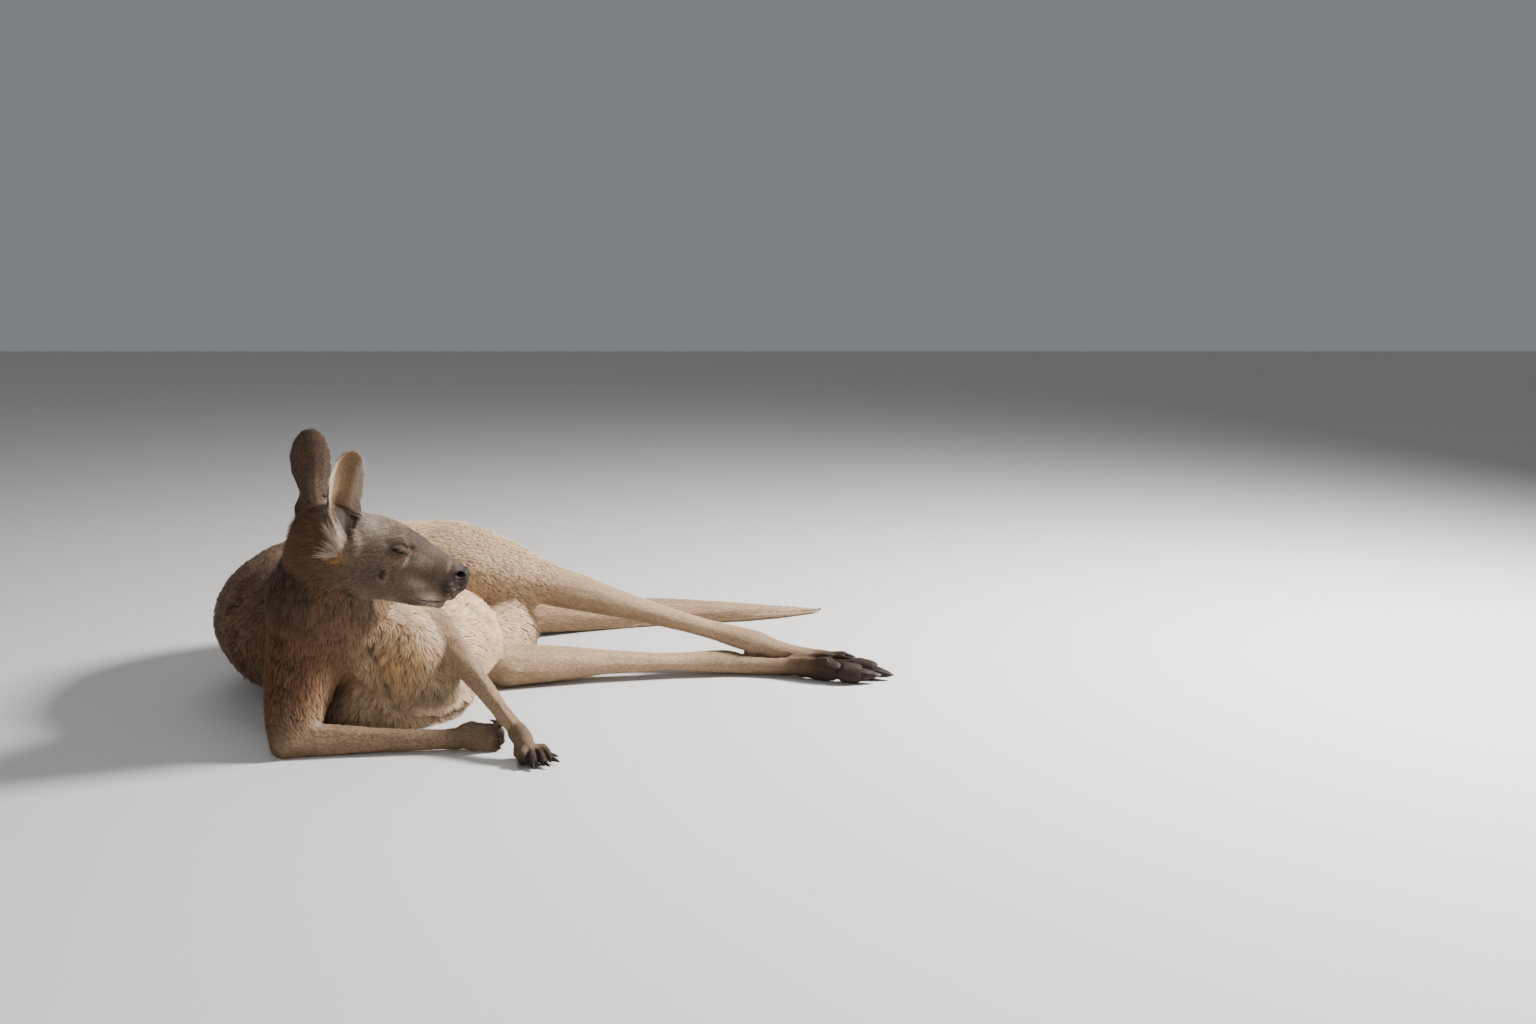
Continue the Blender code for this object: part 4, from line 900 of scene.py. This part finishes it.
def grow(name, plan):
    faces = skinFaces[plan["where"][skinFaces[:, 0]]]
    a, b, c = (points[faces[:, i]] for i in range(3))
    area = np.linalg.norm(np.cross(b - a, c - a), axis=1) / 2
    steep, low = tuftPlan["underside"]
    area[(normals[faces].mean(1)[:, 2] < -steep) & (a[:, 2] < low)] = 0
    wanted = area / plan["spacing"] ** 2
    count = np.floor(wanted + chance.random(len(wanted))).astype(int)
    face = np.repeat(faces, count, axis=0)
    share = chance.random((len(face), 2))
    outside = share.sum(1) > 1
    share[outside] = 1 - share[outside]
    weight = np.column_stack([1 - share.sum(1), share])[:, :, None]

    def at(values):
        values = values if values.ndim > 1 else values[:, None]
        return (values[face] * weight).sum(1)

    keep = at(bare)[:, 0] < tuftPlan["bareFrom"]
    face, weight = face[keep], weight[keep]
    total = len(face)
    root, normal, lie = at(points), unit(at(normals)), unit(at(flow))
    length = at(furLength)[:, 0] * chance.uniform(0.72, 1.22, total)
    lift = np.radians(at(furLift)[:, 0] * chance.uniform(0.6, 1.45, total))
    gather = at(furLock)[:, 0]
    lie = unit(lie + chance.normal(0, plan["stray"], (total, 3)))
    lie = unit(lie - (lie * normal).sum(1, keepdims=True) * normal)
    side = np.cross(normal, lie)
    rise, rest = np.sin(lift)[:, None], np.cos(lift)[:, None]
    half = root + (lie * rest + normal * rise) * length[:, None] * 0.5
    tip = half + unit(lie + normal * rise * 0.35) * length[:, None] * 0.5
    # neighbouring hairs lean together into locks
    perLock = max(int((plan["lock"] / plan["spacing"]) ** 2), 2)
    seeds = chance.choice(total, max(total // perLock, 1), replace=False)
    tree = KDTree(len(seeds))
    for i, seed in enumerate(seeds):
        tree.insert(root[seed], i)
    tree.balance()
    lead = seeds[[tree.find(place)[1] for place in root.tolist()]]
    pull = (gather * chance.uniform(0.5, 1.0, total))[:, None]
    tip += (tip[lead] - tip) * pull * 0.75
    half += (half[lead] - half) * pull * 0.30
    grain = 0.5 + 0.45 * (chance.random(total) - 0.5) + gather * 0.55 * (chance.random(total)[lead] - 0.5)
    grain = np.clip(grain, 0, 1)
    width = plan["width"] * chance.uniform(0.7, 1.25, total)[:, None]
    base = root - normal * tuftPlan["rootDepth"]

    def ring(centre, across):
        ridge = centre + normal * across * tuftPlan["ridge"]
        return [centre - side * across / 2, ridge, centre + side * across / 2]

    twoRings = plan["rings"] == 2
    rows = ring(base, width * 0.85) + ring(half, width) if twoRings else ring(base, width)
    rows.append(tip)
    corners = np.stack(rows, 1)
    per = corners.shape[1]
    corners[:, :, 2] = np.maximum(corners[:, :, 2], tuftPlan["floorGap"])
    pattern = np.array(tuftFaces[plan["rings"]])
    triangles = (pattern[None] + (np.arange(total) * per)[:, None, None]).reshape(-1, 3)
    mesh = bpy.data.meshes.new(name)
    mesh.vertices.add(total * per)
    mesh.vertices.foreach_set("co", corners.astype(np.float32).ravel())
    mesh.loops.add(len(triangles) * 3)
    mesh.loops.foreach_set("vertex_index", triangles.astype(np.int32).ravel())
    mesh.polygons.add(len(triangles))
    mesh.polygons.foreach_set("loop_start", np.arange(0, len(triangles) * 3, 3, dtype=np.int32))
    mesh.update(calc_edges=True)
    mesh.polygons.foreach_set("use_smooth", np.ones(len(triangles), bool))

    sideways = np.array([-1, 0, 1] * plan["rings"] + [0])[None, :, None]
    soft = unit(normal[:, None] + 0.55 * sideways * side[:, None] + 0.12 * lie[:, None])
    mesh.normals_split_custom_set_from_vertices(soft.reshape(-1, 3))
    colourAttribute(mesh, "tone", np.repeat(at(tone), per, axis=0))
    colourAttribute(mesh, "tint", np.repeat(at(tint), per, axis=0))
    along = np.array([0.0] * 3 + [0.55] * 3 * twoRings + [1.0])
    numberAttribute(mesh, "tip", np.tile(along, total))
    numberAttribute(mesh, "grain", np.repeat(grain, per))

    # each tuft is a small patch at its root's place on an unwrap of the region's own shape
    patch = [(-1, -1), (0, -1), (1, -1)] + [(-1, 0), (0, 0), (1, 0)] * twoRings + [(0, 1)]
    patch = np.array(patch) * tuftPlan["patch"]
    spots = (unwrapped(root)[:, None] + patch[None]).reshape(-1, 2)
    spots = spots[triangles.ravel()].astype(np.float32)
    mesh.uv_layers.new(name="OFBake").data.foreach_set("uv", spots.ravel())
    made = bpy.data.objects.new(name, mesh)
    bpy.context.scene.collection.objects.link(made)
    print(f"{name}: {total} tufts, {len(triangles)} triangles")
    return made


def unwrapped(root):  # round the nearest body line as one way, along it as the other
    out = np.zeros((len(root), 2))
    best, lane = np.full(len(root), 1e9), np.zeros(len(root), int)
    for i, chain in enumerate(sorted(lines)):
        line = lines[chain]
        gaps = ((root[:, None] - line[None]) ** 2).sum(-1)
        nearest, closest = gaps.argmin(1), gaps.min(1)
        tangent = unit(np.gradient(line, axis=0))[nearest]
        away = root - line[nearest]
        first = unit(np.cross(tangent, [0.31, 0.17, 0.93]))
        second = np.cross(tangent, first)
        angle = np.arctan2((away * second).sum(1), (away * first).sum(1)) / (2 * math.pi) + 0.5
        better = closest < best
        best[better], lane[better] = closest[better], i
        out[better, 0], out[better, 1] = angle[better], nearest[better] / (len(line) - 1)
    taken = np.unique(lane)
    strip = np.searchsorted(taken, lane)
    low, high = out[:, 1].min(), out[:, 1].max()
    out[:, 1] = (out[:, 1] - low) / max(high - low, 1e-6)
    out[:, 0] = (out[:, 0] + strip) / len(taken)
    return 0.01 + 0.98 * out


coat = {name: grow(name, dict(zip(coatColumns, plan))) for name, plan in coatPlan.items()}


# Eyes and claws.

eyePlan = {"bulge": 0.0009, "inset": 0.0002}  # the clear front's height, and how far the ball sits back


def eyeball(side):
    bpy.ops.object.select_all(action="DESELECT")
    bpy.ops.mesh.primitive_uv_sphere_add(segments=64, ring_count=40, radius=facePlan["eyeRadius"])
    made = bpy.context.view_layer.objects.active
    made.name = made.data.name = f"eyeball_{side}"
    gaze = Vector(unit(toLeft * sides[side] + headAhead * 0.32 - headUp * 0.02))
    ball = readPoints(made)
    turn = np.array(Vector((0, 0, 1)).rotation_difference(gaze).to_matrix())
    height = ball[:, 2] / facePlan["eyeRadius"]
    ball[:, 2] += eyePlan["bulge"] * ramp(height, 0.80, 0.97)
    writePoints(made, ball @ turn.T + eyes[side] - np.array(gaze) * eyePlan["inset"])
    numberAttribute(made.data, "ring", np.degrees(np.arccos(np.clip(height, -1, 1))))
    made.data.shade_smooth()
    return made


def clawOf(name):
    made = copied([name], f"horn_{name}")
    low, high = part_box(name)
    size = max(high - low)
    apply(made, "REMESH", mode="VOXEL", voxel_size=size / 34)
    apply(made, "SMOOTH", iterations=4, factor=0.5)
    rows = readPoints(made)
    part, side = "foot" if name.startswith("toe") else "hand", name.split("_")[2]
    reach = distanceTo(rows, middle(f"{part}_{side}"))
    numberAttribute(made.data, "grain", (reach - reach.min()) / (reach.max() - reach.min()))
    made.data.shade_smooth()
    return made


eyeballs = {side: eyeball(side) for side in eyes}
claws = {name: clawOf(name) for name in clawNames}
print("eyes and claws are in place:", len(claws), "claws")


# Finishes.

class Wire:  # a socket of a material's node tree, so that its maths reads as plain sums
    def __init__(self, tree, socket):
        self.tree, self.socket = tree, socket

    def node(self, kind, settings, values, out=0):
        made = self.tree.nodes.new(kind)
        for key, value in settings.items():
            setattr(made, key, value)
        for key, value in values.items():
            if isinstance(value, Wire):
                self.tree.links.new(value.socket, made.inputs[key])
            else:
                made.inputs[key].default_value = value
        return Wire(self.tree, made.outputs[out])

    def maths(self, operation, a, b):
        return self.node("ShaderNodeMath", {"operation": operation}, {0: a, 1: b})

    def __add__(self, other):
        return self.maths("ADD", self, other)

    def __sub__(self, other):
        return self.maths("SUBTRACT", self, other)

    def __rsub__(self, other):
        return self.maths("SUBTRACT", other, self)

    def __mul__(self, other):
        return self.maths("MULTIPLY", self, other)

    __radd__, __rmul__ = __add__, __mul__

    def clamped(self):
        return self.node("ShaderNodeClamp", {}, {0: self})

    def ramped(self, low, high):
        smooth = {"interpolation_type": "SMOOTHSTEP"}
        return self.node("ShaderNodeMapRange", smooth, {0: self, 1: low, 2: high})

    def mixed(self, first, second, share):
        return self.node("ShaderNodeMix", {"data_type": "RGBA"}, {0: share, 6: first, 7: second}, out=2)

    def blend(self, other, share):
        return self.mixed(self, other, share)

    def attribute(self, name, out="Fac"):
        return self.node("ShaderNodeAttribute", {"attribute_name": name}, {}, out)

    def parts(self, name):  # the three numbers held in a colour attribute
        split = self.tree.nodes.new("ShaderNodeSeparateColor")
        self.tree.links.new(self.attribute(name, "Color").socket, split.inputs[0])
        return [Wire(self.tree, split.outputs[i]) for i in range(3)]

    def noise(self, scale, detail=2.0):
        place = self.node("ShaderNodeTexCoord", {}, {}, out="Object")
        return self.node("ShaderNodeTexNoise", {}, {"Vector": place, "Scale": scale, "Detail": detail})

    def bumped(self, strength, distance, height):
        values = {"Strength": strength, "Distance": distance, "Height": height}
        return self.node("ShaderNodeBump", {}, values)


def colour(*rgb):
    return (*rgb, 1.0)


def finish(name, build, **constants):
    material = bpy.data.materials.new(name)
    material.use_nodes = True
    tree = material.node_tree
    shader = tree.nodes["Principled BSDF"]
    for key, value in constants.items():
        shader.inputs[key.replace("_", " ")].default_value = value
    for key, value in build(Wire(tree, shader.outputs[0])).items():
        tree.links.new(value.socket, shader.inputs[key])
    return material


furColours = {  # each as root and tip: the hair's own darker root and paler tip, with painted shade on the root and painted sunlight on the tip
    "brown": ((0.034, 0.019, 0.011), (0.235, 0.128, 0.068)),
    "pale": ((0.310, 0.198, 0.113), (0.760, 0.548, 0.342)),
    "rust": ((0.052, 0.020, 0.009), (0.310, 0.126, 0.048)),
    "ochre": ((0.150, 0.070, 0.022), (0.520, 0.280, 0.090)),
    "grey": ((0.037, 0.024, 0.018), (0.268, 0.185, 0.136)),
    "white": ((0.280, 0.205, 0.150), (0.900, 0.770, 0.630)),
    "dark": ((0.008, 0.005, 0.003), (0.056, 0.034, 0.022)),
}


def furColour(wire):
    pale, rust, dark = wire.parts("tone")
    ochre, white, grey = wire.parts("tint")
    along = wire.attribute("tip")
    grain = wire.attribute("grain")
    patchy = wire.noise(28.0) + wire.noise(95.0) - 1.0
    shares = {"grey": grey, "pale": pale, "rust": rust, "ochre": ochre, "white": white, "dark": dark}
    ends = [colour(*end) for end in furColours["brown"]]
    for kind, share in shares.items():
        wobble = (share + patchy * 0.45 * share * (1.0 - share)).clamped()
        ends = [wire.mixed(end, colour(*other), wobble) for end, other in zip(ends, furColours[kind])]
    # the blend runs from root to tip, so also from painted shade to painted sunlight, varied at random by
    # tuft, lock and patch
    light = (along * 0.90 + (grain - 0.5) * 0.80 + patchy * 0.20).clamped()
    return ends[0].blend(ends[1], light)


def coatFinish(wire):
    return {"Base Color": furColour(wire)}


def skinFinish(wire):
    bareness = wire.attribute("bare").clamped()
    pores = wire.noise(900.0, 3.0)
    leather = wire.mixed(colour(0.010, 0.006, 0.005), colour(0.048, 0.030, 0.021),
                         pores.ramped(0.35, 0.75))
    leather = leather.blend(colour(0.004, 0.003, 0.003), wire.attribute("shade"))
    streaks = wire.noise(420.0, 4.0)
    under = furColour(wire).blend(colour(0.02, 0.013, 0.009), streaks.ramped(0.62, 0.30) * 0.5)
    return {"Base Color": under.blend(leather, bareness), "Roughness": 0.80 - bareness * 0.28,
            "Normal": wire.bumped(0.55, 0.0012, streaks * (1.0 - bareness) + pores * bareness)}


def eyeFinish(wire):
    ring = wire.attribute("ring")
    fibres = wire.noise(900.0, 4.0)
    iris = wire.mixed(colour(0.028, 0.013, 0.007), colour(0.075, 0.034, 0.015),
                      fibres.ramped(0.35, 0.7))
    iris = iris.blend(colour(0.0015, 0.0012, 0.001), ring.ramped(21.0, 18.0))
    return {"Base Color": iris.blend(colour(0.012, 0.007, 0.005), ring.ramped(40.0, 46.0))}


def hornFinish(wire):
    along = wire.attribute("grain")
    bands = wire.noise(240.0, 2.0)
    horn = wire.mixed(colour(0.014, 0.009, 0.007), colour(0.036, 0.025, 0.018), bands.ramped(0.35, 0.75))
    tip = (along + bands * 0.25).ramped(0.90, 1.18)
    return {"Base Color": horn.blend(colour(0.190, 0.135, 0.090), tip), "Roughness": 0.55 + bands * 0.2,
            "Normal": wire.bumped(0.2, 0.0004, bands)}


coatMaterial = finish("coat fur", coatFinish, Roughness=0.58, Specular_IOR_Level=0.28)
skinMaterial = finish("skin and short fur", skinFinish, Specular_IOR_Level=0.20)
eyeMaterial = finish("wet eye", eyeFinish, Roughness=0.22, Specular_IOR_Level=0.12, Coat_Weight=0.12,
                     Coat_Roughness=0.04)
hornMaterial = finish("claw horn", hornFinish, Specular_IOR_Level=0.18)


def dress(piece, material, slot, *stands):
    piece.data.materials.clear()
    piece.data.materials.append(material)
    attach(piece, "root")
    if stands:
        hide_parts(*stands)


coatSlots = {"coat_belly": "coat_pale", "coat_tail": "coat_pale", "coat_upper_limbs": "coat_pale",
             "coat_lower_limbs": "coat_pale", "coat_hands_feet": "coat_dark", "coat_ears": "coat_dark"}
dress(skin, skinMaterial, "coat_grey_brown", *fleshNames)
for name, piece in coat.items():
    dress(piece, coatMaterial, coatSlots.get(name, "coat_grey_brown"))
for side, piece in eyeballs.items():
    dress(piece, eyeMaterial, "wet_eye", f"eye_{side}")
for name, piece in claws.items():
    dress(piece, hornMaterial, "horn", name)
print("finishes: every piece has its material")


# Floor, light and camera.

lightPlan = {  # where each light stands, its size and its power
    "key": ((2.8, 0.2, 2.3), 0.7, 440),
    "front": ((-0.4, -3.4, 1.6), 2.4, 36),
    "top": ((-0.6, 0.6, 3.2), 2.2, 20),
}
cameraPlan = {"lens": 35.156, "sensor": 36.0, "place": (0.4436, -3.1590, 0.85), "tilt": 81.208}
aim = Vector((-0.15, -0.25, 0.15))
bpy.ops.object.select_all(action="DESELECT")
bpy.ops.mesh.primitive_plane_add(size=30)
floor = bpy.context.view_layer.objects.active
floor.name = "floor"
floor.data.materials.append(finish("floor", lambda wire: {
    "Roughness": 0.80 + wire.noise(3.0) * 0.10}, Base_Color=colour(0.62, 0.60, 0.57)))
for name, (where, size, power) in lightPlan.items():
    lamp = bpy.data.lights.new(name, "AREA")
    lamp.size, lamp.energy = size, power
    holder = bpy.data.objects.new(name, lamp)
    bpy.context.scene.collection.objects.link(holder)
    holder.location = where
    holder.rotation_euler = (aim - Vector(where)).to_track_quat("-Z", "Y").to_euler()
world = bpy.data.worlds.new("pale room")
world.use_nodes = True
world.node_tree.nodes["Background"].inputs["Color"].default_value = colour(0.80, 0.84, 0.90)
world.node_tree.nodes["Background"].inputs["Strength"].default_value = 0.26
bpy.context.scene.world = world

lens = bpy.data.cameras.new("camera")
lens.lens, lens.sensor_width = cameraPlan["lens"], cameraPlan["sensor"]
camera = bpy.data.objects.new("camera", lens)
bpy.context.scene.collection.objects.link(camera)
camera.location = cameraPlan["place"]
camera.rotation_euler = (math.radians(cameraPlan["tilt"]), 0, 0)
bpy.context.scene.camera = camera

print("scene: floor, lights and camera are set")
